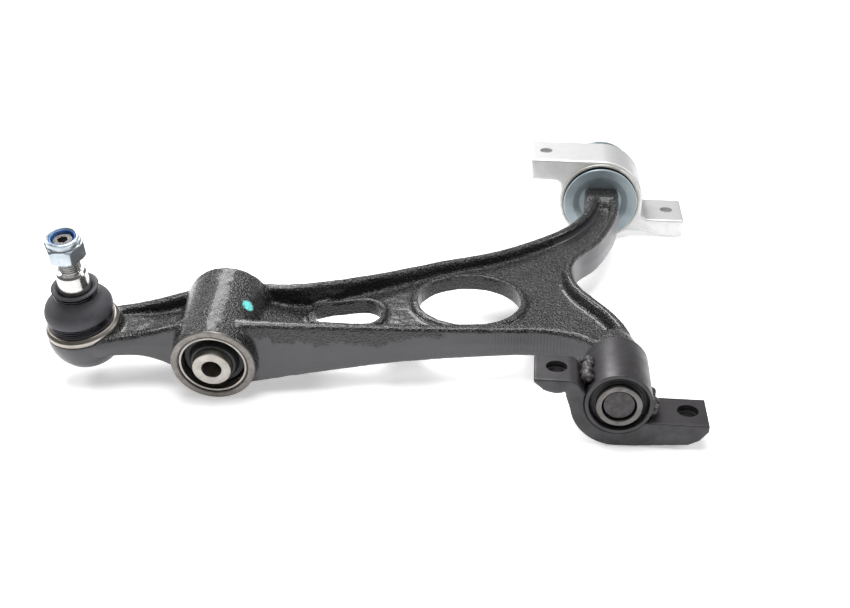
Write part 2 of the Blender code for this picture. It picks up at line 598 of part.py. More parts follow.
def dish(name, hub, way, look):
    """Dished washer: its hub lies at a height, its rim stands off to one side."""
    rim = hub + 4.2 * way
    low, high = (hub - WASHER_T, hub), (hub, hub + WASHER_T)
    a, b = low if way < 0 else high
    ra, rb = (rim - WASHER_T, rim) if way < 0 else (rim, rim + WASHER_T)
    profile = [(JOURNAL_R + GAP, b), (17, b), (22, (b + rb) / 2 + 0.4 * way), (WASHER_R - 0.4, rb),
               (WASHER_R, (ra + rb) / 2), (WASHER_R - 0.4, ra), (22, (a + ra) / 2 + 0.4 * way), (17, a),
               (JOURNAL_R + GAP, a)]
    lathe(name, profile, (0, 0, 0), (0, 1, 0), 36, look)


def hex_nut(name, start, flats, height, bore, look):
    """Hexagon nut on the pivot axis."""
    radius = flats / 2 / math.cos(math.pi / 6) * MM
    bm = bmesh.new()
    bmesh.ops.create_cone(bm, cap_ends=True, segments=6, radius1=radius, radius2=radius, depth=height * MM)
    made = add_object(name, close_mesh(bm, name), look)
    place(made, (0, start + height / 2, 0), (0, 1, 0))
    boolean(made, bar(name + "_bore", (0, start - 2, 0), (0, 1, 0), bore, height + 4, 24), "DIFFERENCE")


def main():
    black = material("black_paint", (0.012, 0.012, 0.013), 0.35, 0.0)
    satin = material("dark_primer", (0.035, 0.034, 0.036), 0.5, 0.2)
    bare = material("bare_steel", (0.45, 0.43, 0.40), 0.4, 1.0)
    bright = material("polished_steel", (0.75, 0.75, 0.76), 0.15, 1.0)
    rubber = material("rubber", (0.02, 0.02, 0.021), 0.7, 0.0)
    plastic = material("seat_plastic", (0.75, 0.73, 0.68), 0.5, 0.0)
    zinc = material("zinc_plate", (0.62, 0.66, 0.70), 0.3, 1.0)
    nylon = material("blue_nylon", (0.02, 0.09, 0.27), 0.4, 0.0)
    cast = material("cast_aluminium", (0.80, 0.80, 0.79), 0.45, 1.0)
    arm_forging(black)
    damper_bush(bare, bare, rubber)
    ball_joint(bare, bright, rubber, plastic, black, zinc, nylon)
    front_bracket(satin, bare, rubber, satin)
    rear_bracket(cast, bare, rubber, bare, zinc)


clear_scene()
PARTS = collection("control_arm")
CUTTERS = collection("cutters")
main()
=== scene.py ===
# Looks of a forged suspension arm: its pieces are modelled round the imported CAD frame.
import json
import math
import random

import bpy
from mathutils import Matrix, Vector, noise


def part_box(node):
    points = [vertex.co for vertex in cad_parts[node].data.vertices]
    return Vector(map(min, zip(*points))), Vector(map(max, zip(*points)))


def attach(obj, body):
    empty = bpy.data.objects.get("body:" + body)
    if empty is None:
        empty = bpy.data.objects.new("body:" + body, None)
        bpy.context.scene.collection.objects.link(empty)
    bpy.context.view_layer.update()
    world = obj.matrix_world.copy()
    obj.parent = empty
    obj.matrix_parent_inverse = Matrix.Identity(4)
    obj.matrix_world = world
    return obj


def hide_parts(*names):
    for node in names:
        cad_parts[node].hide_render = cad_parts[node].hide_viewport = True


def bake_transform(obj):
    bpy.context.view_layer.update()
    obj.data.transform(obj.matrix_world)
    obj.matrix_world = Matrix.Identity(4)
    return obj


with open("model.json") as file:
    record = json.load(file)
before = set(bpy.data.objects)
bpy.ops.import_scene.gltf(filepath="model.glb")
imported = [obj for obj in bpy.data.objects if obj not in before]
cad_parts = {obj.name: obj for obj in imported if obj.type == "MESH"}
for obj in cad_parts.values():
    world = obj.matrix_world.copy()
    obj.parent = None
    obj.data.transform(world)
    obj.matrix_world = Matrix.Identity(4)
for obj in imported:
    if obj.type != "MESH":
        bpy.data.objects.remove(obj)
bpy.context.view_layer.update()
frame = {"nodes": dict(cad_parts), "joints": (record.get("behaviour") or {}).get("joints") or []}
bpy.ops.object.select_all(action="DESELECT")
print("frame loaded")

mm = 0.001
joints = {j["name"]: j for j in frame["joints"]}
pivot = Vector(joints["front_bracket_swing"]["pos_m"])
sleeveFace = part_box("front_bush_inner_sleeve")[0].y
ballCentre = Vector(joints["ball_joint_rock"]["pos_m"])
studAxis = Vector(joints["ball_stud_spin"]["axis"])
bossAxis = Vector(joints["damper_bush_twist"]["axis"])
bossMiddle = Vector(joints["damper_bush_twist"]["pos_m"])
housingAxis = Vector((-0.0634, -0.2126, 0.9751)).normalized()
pivotAxis = Vector((0, 1, 0))


def at(x, y, z):
    # millimetres from the pivot axis and the near face of the front sleeve
    return Vector((pivot.x + x * mm, sleeveFace + y * mm, pivot.z + z * mm))


def pick(obj):
    bpy.ops.object.select_all(action="DESELECT")
    obj.select_set(True)
    bpy.context.view_layer.objects.active = obj
    return obj


def edit(obj):
    pick(obj)
    bpy.ops.object.mode_set(mode="EDIT")
    bpy.ops.mesh.select_all(action="SELECT")


def leaveEdit():
    bpy.ops.object.mode_set(mode="OBJECT")


def applyModifier(obj, kind, **settings):
    pick(obj)
    modifier = obj.modifiers.new(kind.lower(), kind)
    for key, value in settings.items():
        setattr(modifier, key, value)
    bpy.ops.object.modifier_apply(modifier=modifier.name)
    return obj


def newMesh(name, points, edges, faces):
    mesh = bpy.data.meshes.new(name)
    mesh.from_pydata([tuple(p) for p in points], edges, faces)
    obj = bpy.data.objects.new(name, mesh)
    bpy.context.scene.collection.objects.link(obj)
    return obj


def tidyFaces(obj):
    edit(obj)
    bpy.ops.mesh.remove_doubles(threshold=0.002 * mm)
    bpy.ops.mesh.delete_loose(use_verts=True, use_edges=True, use_faces=False)
    bpy.ops.mesh.select_all(action="SELECT")
    bpy.ops.mesh.normals_make_consistent(inside=False)
    leaveEdit()
    return obj


def smoothShade(obj, angle=35):
    pick(obj)
    bpy.ops.object.shade_smooth_by_angle(angle=math.radians(angle))
    return obj


def soften(profile, radius=0.3, steps=4):
    # rounds each corner of a closed profile; a third number is that corner's own radius
    out = []
    for i, corner in enumerate(profile):
        before, here, after = (Vector(profile[k % len(profile)][:2]) for k in (i - 1, i, i + 1))
        size = corner[2] if len(corner) > 2 else radius
        into, away = before - here, after - here
        if size == 0 or here.x < 0.01 or into.length < 1e-6 or away.length < 1e-6:
            out.append((here.x, here.y))
            continue
        turn = into.angle(away)
        reach = min(size / max(math.tan(turn / 2), 0.05), into.length * 0.48, away.length * 0.48)
        start, stop = here + into.normalized() * reach, here + away.normalized() * reach
        for k in range(steps + 1):
            t = k / steps
            spot = start * (1 - t) ** 2 + here * 2 * t * (1 - t) + stop * t * t
            out.append((spot.x, spot.y))
    return out


def turned(name, profile, centre, axis, steps=96, radius=0.3, corner=4):
    # a (radius, height) profile in mm, spun about an axis
    outline = soften(profile, radius, corner)
    count = len(outline)
    obj = newMesh(name, [(r * mm, 0, h * mm) for r, h in outline],
                  [(i, (i + 1) % count) for i in range(count)], [])
    edit(obj)
    bpy.ops.mesh.spin(steps=steps, angle=2 * math.pi, center=(0, 0, 0), axis=(0, 0, 1))
    leaveEdit()
    upright = Vector((0, 0, 1)).rotation_difference(Vector(axis)).to_matrix().to_4x4()
    obj.data.transform(Matrix.Translation(centre) @ upright)
    return smoothShade(tidyFaces(obj))


def extruded(name, outline, low, high, upright=False):
    # an outline in mm, filled and pulled along Z, or along the pivot axis when it is upright
    if upright:
        points = [at(x, low, z) for x, z in outline]
    else:
        points = [at(x, y, low) for x, y in outline]
    pull = Vector((0, upright, not upright)) * ((high - low) * mm)
    count = len(points)
    obj = newMesh(name, points, [(i, (i + 1) % count) for i in range(count)], [])
    edit(obj)
    bpy.ops.mesh.edge_face_add()
    bpy.ops.mesh.extrude_region_move(TRANSFORM_OT_translate={"value": pull})
    bpy.ops.mesh.select_all(action="SELECT")
    bpy.ops.mesh.normals_make_consistent(inside=False)
    leaveEdit()
    return obj


def blank(radius, high, low):
    # the profile of a plain round cutter
    return [(0, high), (radius, high), (radius, low), (0, low)]


def combine(obj, tool, operation="UNION"):
    applyModifier(obj, "BOOLEAN", object=tool, operation=operation, solver="MANIFOLD")
    bpy.data.objects.remove(tool, do_unlink=True)
    return obj


def drilled(obj, place, radius, reach):
    combine(obj, turned("drill", blank(radius, reach, -reach), place, (0, 0, 1), 64, 0), "DIFFERENCE")


def joined(name, pieces):
    pick(pieces[0])
    for piece in pieces[1:]:
        piece.select_set(True)
    bpy.ops.object.join()
    obj = bpy.context.view_layer.objects.active
    obj.name = name
    obj.data.name = name
    return obj


def remeshed(obj, voxel, iterations, factor=0.5):
    applyModifier(obj, "REMESH", mode="VOXEL", voxel_size=voxel * mm, use_smooth_shade=True)
    applyModifier(obj, "SMOOTH", factor=factor, iterations=iterations)
    return obj


def arc(cx, cy, radius, start, end, count):
    turns = [math.radians(start + (end - start) * i / count) for i in range(count + 1)]
    return [(cx + radius * math.cos(turn), cy + radius * math.sin(turn)) for turn in turns]


def smoothPath(points, step):
    # a soft curve through (x, y, ...) points
    ends = [points[0]] + [tuple(p) for p in points] + [points[-1]]
    out = []
    for a, b, c, d in zip(ends, ends[1:], ends[2:], ends[3:]):
        count = max(1, round(math.dist(b[:2], c[:2]) / step))
        for i in range(count):
            t = i / count
            out.append([0.5 * (2 * q + (r - p) * t + (2 * p - 5 * q + 4 * r - s) * t * t
                               + (3 * q - p - 3 * r + s) * t ** 3) for p, q, r, s in zip(a, b, c, d)])
    out.append([float(v) for v in points[-1]])
    return out


def lofted(name, rings, closed=False):
    # skins rings that have the same number of points; closed joins the last ring to the first
    count = len(rings[0])
    points = [p for ring in rings for p in ring]
    faces = []
    last = len(rings) if closed else len(rings) - 1
    for k in range(last):
        a, b = k * count, (k + 1) % len(rings) * count
        for i in range(count):
            j = (i + 1) % count
            faces.append((a + i, a + j, b + j, b + i))
    if not closed:
        faces.append(tuple(reversed(range(count))))
        faces.append(tuple(range((len(rings) - 1) * count, len(rings) * count)))
    return tidyFaces(newMesh(name, points, [], faces))


def finish(obj, body, nodes, material):
    obj.data.materials.clear()
    obj.data.materials.append(material)
    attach(obj, body)
    if nodes:
        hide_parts(*nodes)
    return obj


def colour(code):
    parts = [int(code[i:i + 2], 16) / 255 for i in (1, 3, 5)]
    return [v / 12.92 if v <= 0.04045 else ((v + 0.055) / 1.055) ** 2.4 for v in parts] + [1.0]


def add(tree, kind, settings=None, links=None, out=0):
    # one shader node, its settings and what feeds its sockets; gives back one of its outputs
    node = tree.nodes.new("ShaderNode" + kind)
    for key, value in (settings or {}).items():
        if key == "stops":
            for place, tone in value[len(node.color_ramp.elements):]:
                node.color_ramp.elements.new(place)
            for element, (place, tone) in zip(node.color_ramp.elements, value):
                element.position, element.color = place, tone
        elif isinstance(key, str) and hasattr(node, key):
            setattr(node, key, value)
        else:
            node.inputs[key].default_value = value
    for key, source in (links or {}).items():
        tree.links.new(source, node.inputs[key])
    return node.outputs[out]


def freshMaterial(name):
    material = bpy.data.materials.new(name)
    material.use_nodes = True
    tree = material.node_tree
    return material, tree, tree.nodes["Principled BSDF"], add(tree, "TexCoord", out="Object")


# Black enamel over a forged and shot-blasted steel blank: peened grains a millimetre across that
# catch the light as sparkles. Where the flash was trimmed off, the wall under the paint is flat and
# satin grey, with fine upright cutter marks.
enamel = {
    "low": "#060505", "high": "#161313", "trim": "#3d3d40", "dot": "#6fe0dc",
    "grain": 1.15, "grit": 0.5, "lump": 2.6, "speck": 1.3, "cloud": 28, "scratch": 0.9,
    "chatter": 2.1, "relief": 0.62, "coat": 0.45, "coatRoughness": 0.18,
}


def makeEnamel():
    material, tree, shader, place = freshMaterial("blackEnamelForged")
    trim, missed, marks, dot = [add(tree, "Attribute", {"attribute_name": name}, out="Fac")
                                for name in ("trimmed", "missedPatch", "cutterMarks", "paintDot")]
    lump, grain, grit = [add(tree, "TexNoise", {"Scale": 1 / (enamel[size] * mm), "Detail": 2.5,
                                                "Roughness": 0.6}, {"Vector": place})
                         for size in ("lump", "grain", "grit")]
    speck = add(tree, "TexVoronoi", {"Scale": 1 / (enamel["speck"] * mm)}, {"Vector": place})
    cloud = add(tree, "TexNoise", {"Scale": 1 / (enamel["cloud"] * mm), "Detail": 3.0}, {"Vector": place})

    spread = add(tree, "MapRange", {"From Min": 0.38, "From Max": 0.66}, {"Value": cloud})
    base = add(tree, "Mix", {"data_type": "RGBA", 6: colour(enamel["low"]), 7: colour(enamel["high"])},
               {0: spread}, 2)
    reached = add(tree, "Math", {"operation": "SUBTRACT", 0: 1.0}, {1: missed})
    trim = add(tree, "Math", {"operation": "MULTIPLY"}, {0: trim, 1: reached})
    paint = add(tree, "Mix", {"data_type": "RGBA", 7: colour(enamel["trim"])}, {0: trim, 6: base}, 2)
    paint = add(tree, "Mix", {"data_type": "RGBA", 7: colour(enamel["dot"])}, {0: dot, 6: paint}, 2)
    tree.links.new(paint, shader.inputs["Base Color"])

    shine = add(tree, "MapRange", {"From Min": 0.35, "From Max": 0.7, "To Min": 0.2, "To Max": 0.36},
                {"Value": grain})
    satin = add(tree, "MapRange", {"From Min": 0.3, "From Max": 0.7, "To Min": 0.44, "To Max": 0.54},
                {"Value": cloud})
    gloss = add(tree, "Mix", {"data_type": "FLOAT"}, {0: trim, 2: shine, 3: satin})
    tree.links.new(gloss, shader.inputs["Roughness"])
    shader.inputs["IOR"].default_value = 1.5
    shader.inputs["Specular IOR Level"].default_value = 0.5
    shader.inputs["Coat Weight"].default_value = enamel["coat"]
    shader.inputs["Coat Roughness"].default_value = enamel["coatRoughness"]

    # relief of the blasted skin, then of the cutter marks, each kept to its own part of the surface
    peened = add(tree, "Math", {"operation": "MULTIPLY_ADD", 1: 0.9}, {0: lump, 2: speck})
    peened = add(tree, "Math", {"operation": "MULTIPLY_ADD", 1: 0.6}, {0: grain, 2: peened})
    peened = add(tree, "Math", {"operation": "MULTIPLY_ADD", 1: 0.2}, {0: grit, 2: peened})
    untrimmed = add(tree, "Math", {"operation": "SUBTRACT", 0: 1.0}, {1: trim})
    rough = add(tree, "Math", {"operation": "MULTIPLY"}, {0: peened, 1: untrimmed})
    ridges = add(tree, "TexWave", {"wave_type": "BANDS", "bands_direction": "X", "Distortion": 2.2,
                                   "Scale": 0.314 / (enamel["chatter"] * mm), "Detail": 2.0,
                                   "Detail Scale": 2.0}, {"Vector": place}, 1)
    cut = add(tree, "Math", {"operation": "MULTIPLY"}, {0: ridges, 1: marks})
    stretched = add(tree, "Mapping", {"Scale": (1.0, 1.0, 0.12)}, {"Vector": place})
    scratch = add(tree, "TexNoise", {"Scale": 1 / (enamel["scratch"] * mm), "Detail": 2.0},
                  {"Vector": stretched})
    worked = add(tree, "Math", {"operation": "MULTIPLY_ADD", 1: 0.35}, {0: scratch, 2: cut})
    worked = add(tree, "Math", {"operation": "MULTIPLY"}, {0: worked, 1: trim})
    height = add(tree, "Math", {"operation": "MULTIPLY_ADD", 1: 0.3}, {0: worked, 2: rough})
    bump = add(tree, "Bump", {"Distance": enamel["relief"] * mm}, {"Height": height})
    tree.links.new(bump, shader.inputs["Normal"])
    return material


def wireUp(tree, shader, tone, level, lift):
    tree.links.new(tone, shader.inputs["Base Color"])
    tree.links.new(level, shader.inputs["Roughness"])
    tree.links.new(lift, shader.inputs["Normal"])


def makeMetal(name, tone, dark, rough, grain=0.5, bump=0.02, metallic=1.0, cloudSize=8, spread=0.08):
    # a bare, plated or dip-coated metal: its tone clouds slightly and its surface keeps a fine grain
    material, tree, shader, place = freshMaterial(name)
    cloud = add(tree, "TexNoise", {"Scale": 1 / (cloudSize * mm), "Detail": 3.0, "Roughness": 0.6},
                {"Vector": place})
    fine = add(tree, "TexNoise", {"Scale": 1 / (grain * mm), "Detail": 2.0}, {"Vector": place})
    spot = add(tree, "ValToRGB", {"stops": [(0.36, colour(tone)), (0.68, colour(dark))]}, {"Fac": cloud})
    level = add(tree, "MapRange", {"From Min": 0.3, "From Max": 0.7, "To Min": rough - spread / 2,
                                   "To Max": rough + spread / 2}, {"Value": cloud})
    lift = add(tree, "Bump", {"Distance": bump * mm}, {"Height": fine})
    wireUp(tree, shader, spot, level, lift)
    shader.inputs["Metallic"].default_value = metallic
    return material


def makeTurnedMetal(name, tone, dark, rough, centre, axis, pitch=0.45, depth=0.02):
    # a lathe-turned or ground face: rings about its own axis, one feed of the tool apart
    material, tree, shader, place = freshMaterial(name)
    upright = Vector(axis).rotation_difference(Vector((0, 0, 1))).to_euler()
    moved = add(tree, "VectorMath", {"operation": "SUBTRACT", 1: centre}, {0: place})
    local = add(tree, "Mapping", {"Rotation": upright}, {"Vector": moved})
    rings = add(tree, "TexWave", {"wave_type": "RINGS", "rings_direction": "Z", "Scale": 0.314 / (pitch * mm),
                                  "Distortion": 0.6, "Detail": 1.0}, {"Vector": local}, 1)
    cloud = add(tree, "TexNoise", {"Scale": 1 / (4 * mm), "Detail": 4.0, "Roughness": 0.65}, {"Vector": place})
    fine = add(tree, "TexNoise", {"Scale": 1 / (0.4 * mm), "Detail": 2.0}, {"Vector": place})
    spot = add(tree, "ValToRGB", {"stops": [(0.36, colour(tone)), (0.7, colour(dark))]}, {"Fac": cloud})
    level = add(tree, "MapRange", {"From Min": 0.3, "From Max": 0.7, "To Min": rough - 0.05,
                                   "To Max": rough + 0.07}, {"Value": cloud})
    height = add(tree, "Math", {"operation": "MULTIPLY_ADD", 1: 0.8}, {0: fine, 2: rings})
    lift = add(tree, "Bump", {"Distance": depth * mm}, {"Height": height})
    wireUp(tree, shader, spot, level, lift)
    shader.inputs["Metallic"].default_value = 1.0
    return material


def makeMoulded(name, tone, dark, rough, grain=0.6, bump=0.03):
    # moulded rubber or plastic: matt, a little chalky where the bloom has come out
    material, tree, shader, place = freshMaterial(name)
    bloom = add(tree, "TexNoise", {"Scale": 1 / (7 * mm), "Detail": 4.0, "Roughness": 0.6}, {"Vector": place})
    fine = add(tree, "TexNoise", {"Scale": 1 / (grain * mm), "Detail": 2.0}, {"Vector": place})
    spot = add(tree, "ValToRGB", {"stops": [(0.36, colour(dark)), (0.7, colour(tone))]}, {"Fac": bloom})
    level = add(tree, "MapRange", {"From Min": 0.3, "From Max": 0.7, "To Min": rough - 0.06,
                                   "To Max": rough + 0.06}, {"Value": bloom})
    lift = add(tree, "Bump", {"Distance": bump * mm}, {"Height": fine})
    wireUp(tree, shader, spot, level, lift)
    shader.inputs["IOR"].default_value = 1.52
    return material


# each finish: name, two tones, roughness, then grain size and relief in millimetres
enamelPaint = makeEnamel()
dipCoat = makeMetal("darkDipCoatPressedSteel", "#403e40", "#302e30", 0.42, 0.7, 0.05, 0.35, 11, 0.10)
weldCoat = makeMetal("darkDipCoatWeld", "#4d494a", "#343233", 0.4, 0.8, 0.10, 0.4, 5, 0.16)
rolledSteel = makeMetal("rolledSteelRing", "#aba69f", "#8f8a83", 0.3, 0.6, 0.012, 1.0, 12, 0.08)
groundSteel = makeTurnedMetal("groundStudSteel", "#cbc9c7", "#b5b2b0", 0.18, ballCentre, studAxis, 0.5, 0.006)
facedPin = makeTurnedMetal("facedPivotPin", "#4b494a", "#3b393a", 0.36, at(0, 1.6, 0), pivotAxis, 0.6, 0.02)
boreFace = makeTurnedMetal("facedTubeEnd", "#b0aca6", "#9c9892", 0.42, bossMiddle, bossAxis, 0.4, 0.01)
facedSteel = makeTurnedMetal("facedForgedSteel", "#827e79", "#6b6763", 0.4, bossMiddle, bossAxis, 0.5, 0.02)
threadSteel = makeMetal("rolledThreadSteel", "#b0aeac", "#8c8a88", 0.26, 0.5, 0.02, 1.0, 4, 0.1)
zincPlate = makeMetal("brightZincPlate", "#b4bbc0", "#98a1a8", 0.3, 0.6, 0.015, 1.0, 10, 0.10)
washerZinc = makeMetal("zincPlatePressedWasher", "#a3afb4", "#8b999f", 0.4, 0.8, 0.02, 0.45, 20, 0.10)
sleeveSteel = makeMetal("phosphatedSteelSleeve", "#6a6866", "#555351", 0.36, 0.5, 0.02, 0.9, 6, 0.1)
boreSteel = makeMetal("drawnSteelTube", "#a39f99", "#8c8882", 0.4, 0.5, 0.02, 0.9, 4, 0.1)
bushRubber = makeMoulded("blackBushRubber", "#232427", "#17181a", 0.5, 0.8, 0.03)
bootRubber = makeMoulded("gaiterRubber", "#404044", "#35353a", 0.6, 0.5, 0.03)
clampSteel = makeMetal("blackSpringWire", "#24242a", "#141418", 0.24, 0.4, 0.01, 0.7, 3, 0.1)
blueNylon = makeMoulded("blueNylonRing", "#3f7fc0", "#1f4f8c", 0.35, 0.6, 0.02)
seatPlastic = makeMoulded("acetalSeat", "#d8d4ca", "#c6c1b5", 0.45, 0.6, 0.01)
castAlloy = makeMetal("shotBlastedCastAlloy", "#d8d8d8", "#c9c9c9", 0.5, 0.55, 0.06, 0.75, 12, 0.12)
machinedAlloy = makeMetal("machinedAlloyFace", "#c9c8c2", "#b4b2aa", 0.42, 0.5, 0.02, 0.7, 5, 0.08)
print("materials made")

# The forged arm. Rib paths are x, y, thickness, half height in millimetres.
arm = {
    "frontRib": [(-238, 41.5, 12, 22.5), (-199, 48.6, 9.5, 18.4), (-136, 61, 9, 13.1), (-73, 71.3, 11.5, 10.6),
                 (-48, 73.8, 11.5, 10.6), (-28, 69.5, 11.5, 11), (-14, 60, 12, 11.8), (-7.5, 53.5, 10, 12)],
    "rearRib": [(-246, 92, 10, 22, 16), (-211, 98, 9.5, 19.6, 9.5), (-165, 124, 8.8, 15.4, 8.8),
                (-118.5, 155, 8.5, 12.6, 11.5), (-77, 178, 8.5, 12, 12), (-36, 214, 8.5, 12, 12),
                (-15, 247, 8.5, 12, 12), (-6, 280, 8.5, 12, 12), (-3, 295, 8.5, 12, 12)],
    "sideRib": [(10.5, 295, 8.5, 12.1), (7.5, 252, 8.5, 12.1), (-7, 205, 8.5, 12.1), (-23.5, 178, 8.5, 12.1),
                (-28.6, 152, 8.5, 12.1), (-22.5, 126.5, 8.5, 12.1), (-4, 96, 8.5, 12.1), (5.5, 73, 9, 12.1),
                (7, 53.5, 11, 12.1)],
    "neckFront": [(-332, 38, 10, 6.3), (-308, 45, 10, 8.2), (-294, 46.5, 10.5, 11), (-279, 46, 11, 16.3),
                  (-262, 44, 12, 20)],
    "neckRear": [(-338, 74.5, 10, 7.5), (-314, 79, 9.5, 10.5), (-297, 82, 9.5, 14), (-281, 87, 9.5, 17),
                 (-262, 91, 10, 19)],
    "neckWeb": [(-336, 40, 72, 4.5), (-300, 47, 81, 4.6), (-280, 47, 86, 7), (-262, 45, 88, 13)],
    "dome": [(0, -2.0), (23.8, -2.0, 0.8), (24.6, -7, 3), (24.1, -12, 3), (22.4, -17.5, 4),
             (18.6, -23.5, 4), (13, -28, 4), (6.5, -30.3, 4), (0, -30.8)],
    "knuckle": [(0, 78), (9, 76), (13.5, 70), (15.2, 62), (15.4, 51.8), (14.4, 48.8), (0, 48.8)],
    "rearEnd": [(276, 9, 3.4), (280, 12.4, 9), (284, 13.2, 12.4), (299.5, 13.5, 12.9), (301, 12.6, 12.0)],
    "bore": (21.8, 90, -20), "ringSeat": (24.6, 30, -2.4),
    "ballCavity": [(0, 4), (18.2, 4), (18.2, -20), (15.5, -23), (0, -23)],
    "web": 3.6, "roundHole": (-95.5, 112.6, 35.0), "rim": (4.2, 6.5, 4.2), "voxel": 1.2, "soften": 4,
    "shoulderFrom": -236, "shoulderReach": 48, "shoulderRise": 12.5, "shoulderSteps": 12,
    "bossStart": 33.75, "bossRadii": (26.9, 28.9), "ringOffset": 6.5,
    "dot": (-235.0, 61.3, 22.6), "dotRadius": 4.0,
}
# corners of the flattened octagon that ends the rear rib
octagon = ((1, 0.8), (0.85, 1), (-0.85, 1), (-1, 0.8), (-1, -0.8), (-0.85, -1), (0.85, -1), (1, -0.8))
bossFace = bossMiddle - bossAxis * arm["bossStart"] * mm
bossLength = 2 * arm["bossStart"]
ringCentre = ballCentre + housingAxis * arm["ringOffset"] * mm


def ribSection(thick, half, low):
    # upright sides with a little draft, and a crest that is nearly flat between round shoulders
    edge, top = thick / 2, thick / 2 - 0.9
    radius = min(2.9, top * 0.8, half * 0.5)
    right = [(edge, 0.0)]
    for angle in (0, 22.5, 45, 67.5, 90):
        turn = math.radians(angle)
        right.append((top - radius + radius * math.cos(turn), half - radius + radius * math.sin(turn)))
    upper = right + [(-s, z) for s, z in reversed(right)]
    return upper + [(s, -z * low / half) for s, z in reversed(upper[1:-1])]


def makeRib(name, path):
    stations = smoothPath(path, 4)
    rings = []
    for i, (x, y, thick, half, *low) in enumerate(stations):
        before, after = stations[max(i - 1, 0)], stations[min(i + 1, len(stations) - 1)]
        along = Vector((after[0] - before[0], after[1] - before[1])).normalized()
        section = ribSection(thick, half, low[0] if low else half)
        rings.append([at(x + along.y * s, y - along.x * s, z) for s, z in section])
    return lofted(name, rings)


def slotOutline(grow=0.0):
    return (arc(-188.5, 82.5, 9.5 + grow, 150, 270, 14) + arc(-165, 85.5, 12.5 + grow, 270, 360, 12)
            + arc(-165.5, 92.5, 13 + grow, 0, 112, 14) + arc(-187, 88, 11.5 + grow, 118, 150, 5))


def makeArm():
    plan = [p[:2] for p in smoothPath(arm["frontRib"], 8)]
    plan += [p[:2] for p in reversed(smoothPath(arm["sideRib"], 8))]
    plan += [p[:2] for p in reversed(smoothPath(arm["rearRib"], 8))]
    cx, cy, radius = arm["roundHole"]
    wide, top, low = arm["rim"]
    web = extruded("armForging", plan, -arm["web"], arm["web"])
    hole = arc(cx, cy, radius, 0, 356.25, 95)
    rims = [extruded("holeRim", arc(cx, cy, radius + wide, 0, 356.25, 95), -low, top),
            extruded("slotRim", slotOutline(3.0), -low + 0.1, top - 0.2)]
    ribs = [makeRib(name, arm[name]) for name in ("frontRib", "rearRib", "sideRib", "neckFront", "neckRear")]
    neck = lofted("neckWeb", [[at(x, near, -half), at(x, far, -half), at(x, far, half), at(x, near, half)]
                              for x, near, far, half in arm["neckWeb"]])
    # the boss's shoulder thins out into the web
    shoulder = []
    for k in range(arm["shoulderSteps"] + 1):
        part = k / arm["shoulderSteps"]
        half = arm["web"] - 0.5 + arm["shoulderRise"] * (1 - part) ** 1.8
        swell = 1.5 * (1 - part)
        near, far = 47 + 6 * part, 92 + 12 * part
        middle = (near + far) / 2
        shoulder.append([at(arm["shoulderFrom"] + arm["shoulderReach"] * part, y, z) for y, z in (
            (near, -half), (middle, -half - swell), (far, -half * 0.8),
            (far, half * 0.8), (middle, half + swell), (near, half))])
    root = lofted("bossShoulder", shoulder)
    first, last = arm["bossRadii"]
    barrel = turned("bossBarrel", [(0, bossLength), (last, bossLength, 1.6), (first, 4.0, 0.8),
                                   (first, 0, 1.0), (0, 0)], bossFace, bossAxis, 128)
    dome = turned("housingDome", arm["dome"], ringCentre, housingAxis, 128)
    knuckle = turned("frontKnuckle", arm["knuckle"], at(0, 0, 0), pivotAxis, 96, 1.0)
    block = lofted("rearEnd", [[at(0.4 + halfX * sx, y, halfZ * sz) for sx, sz in octagon]
                               for y, halfX, halfZ in arm["rearEnd"]])
    obj = joined("armForging", [web] + rims + ribs + [neck, root, barrel, dome, knuckle, block])
    remeshed(obj, arm["voxel"], arm["soften"])
    for tool in (extruded("roundHole", hole, -20, 20),
                 extruded("slot", slotOutline(), -20, 20),
                 turned("boreCut", blank(*arm["bore"]), bossFace, bossAxis, 128, 0),
                 turned("ringSeat", blank(*arm["ringSeat"]), ringCentre, housingAxis, 128, 0),
                 turned("ballCavity", arm["ballCavity"], ringCentre, housingAxis, 96, 0)):
        combine(obj, tool, "DIFFERENCE")
    return obj


def ease(value, low, high):
    part = min(max((value - low) / (high - low), 0.0), 1.0)
    return part * part * (3 - 2 * part)


def frontLine(x):
    # height of the front wall's crest above the pivot plane, along the arm
    path = arm["frontRib"] if x > -245 else arm["neckFront"]
    for a, b in zip(path, path[1:]):
        if a[0] <= x <= b[0]:
            return a[3] + (b[3] - a[3]) * (x - a[0]) / (b[0] - a[0])
    return path[-1][3] if x > path[-1][0] else path[0][3]


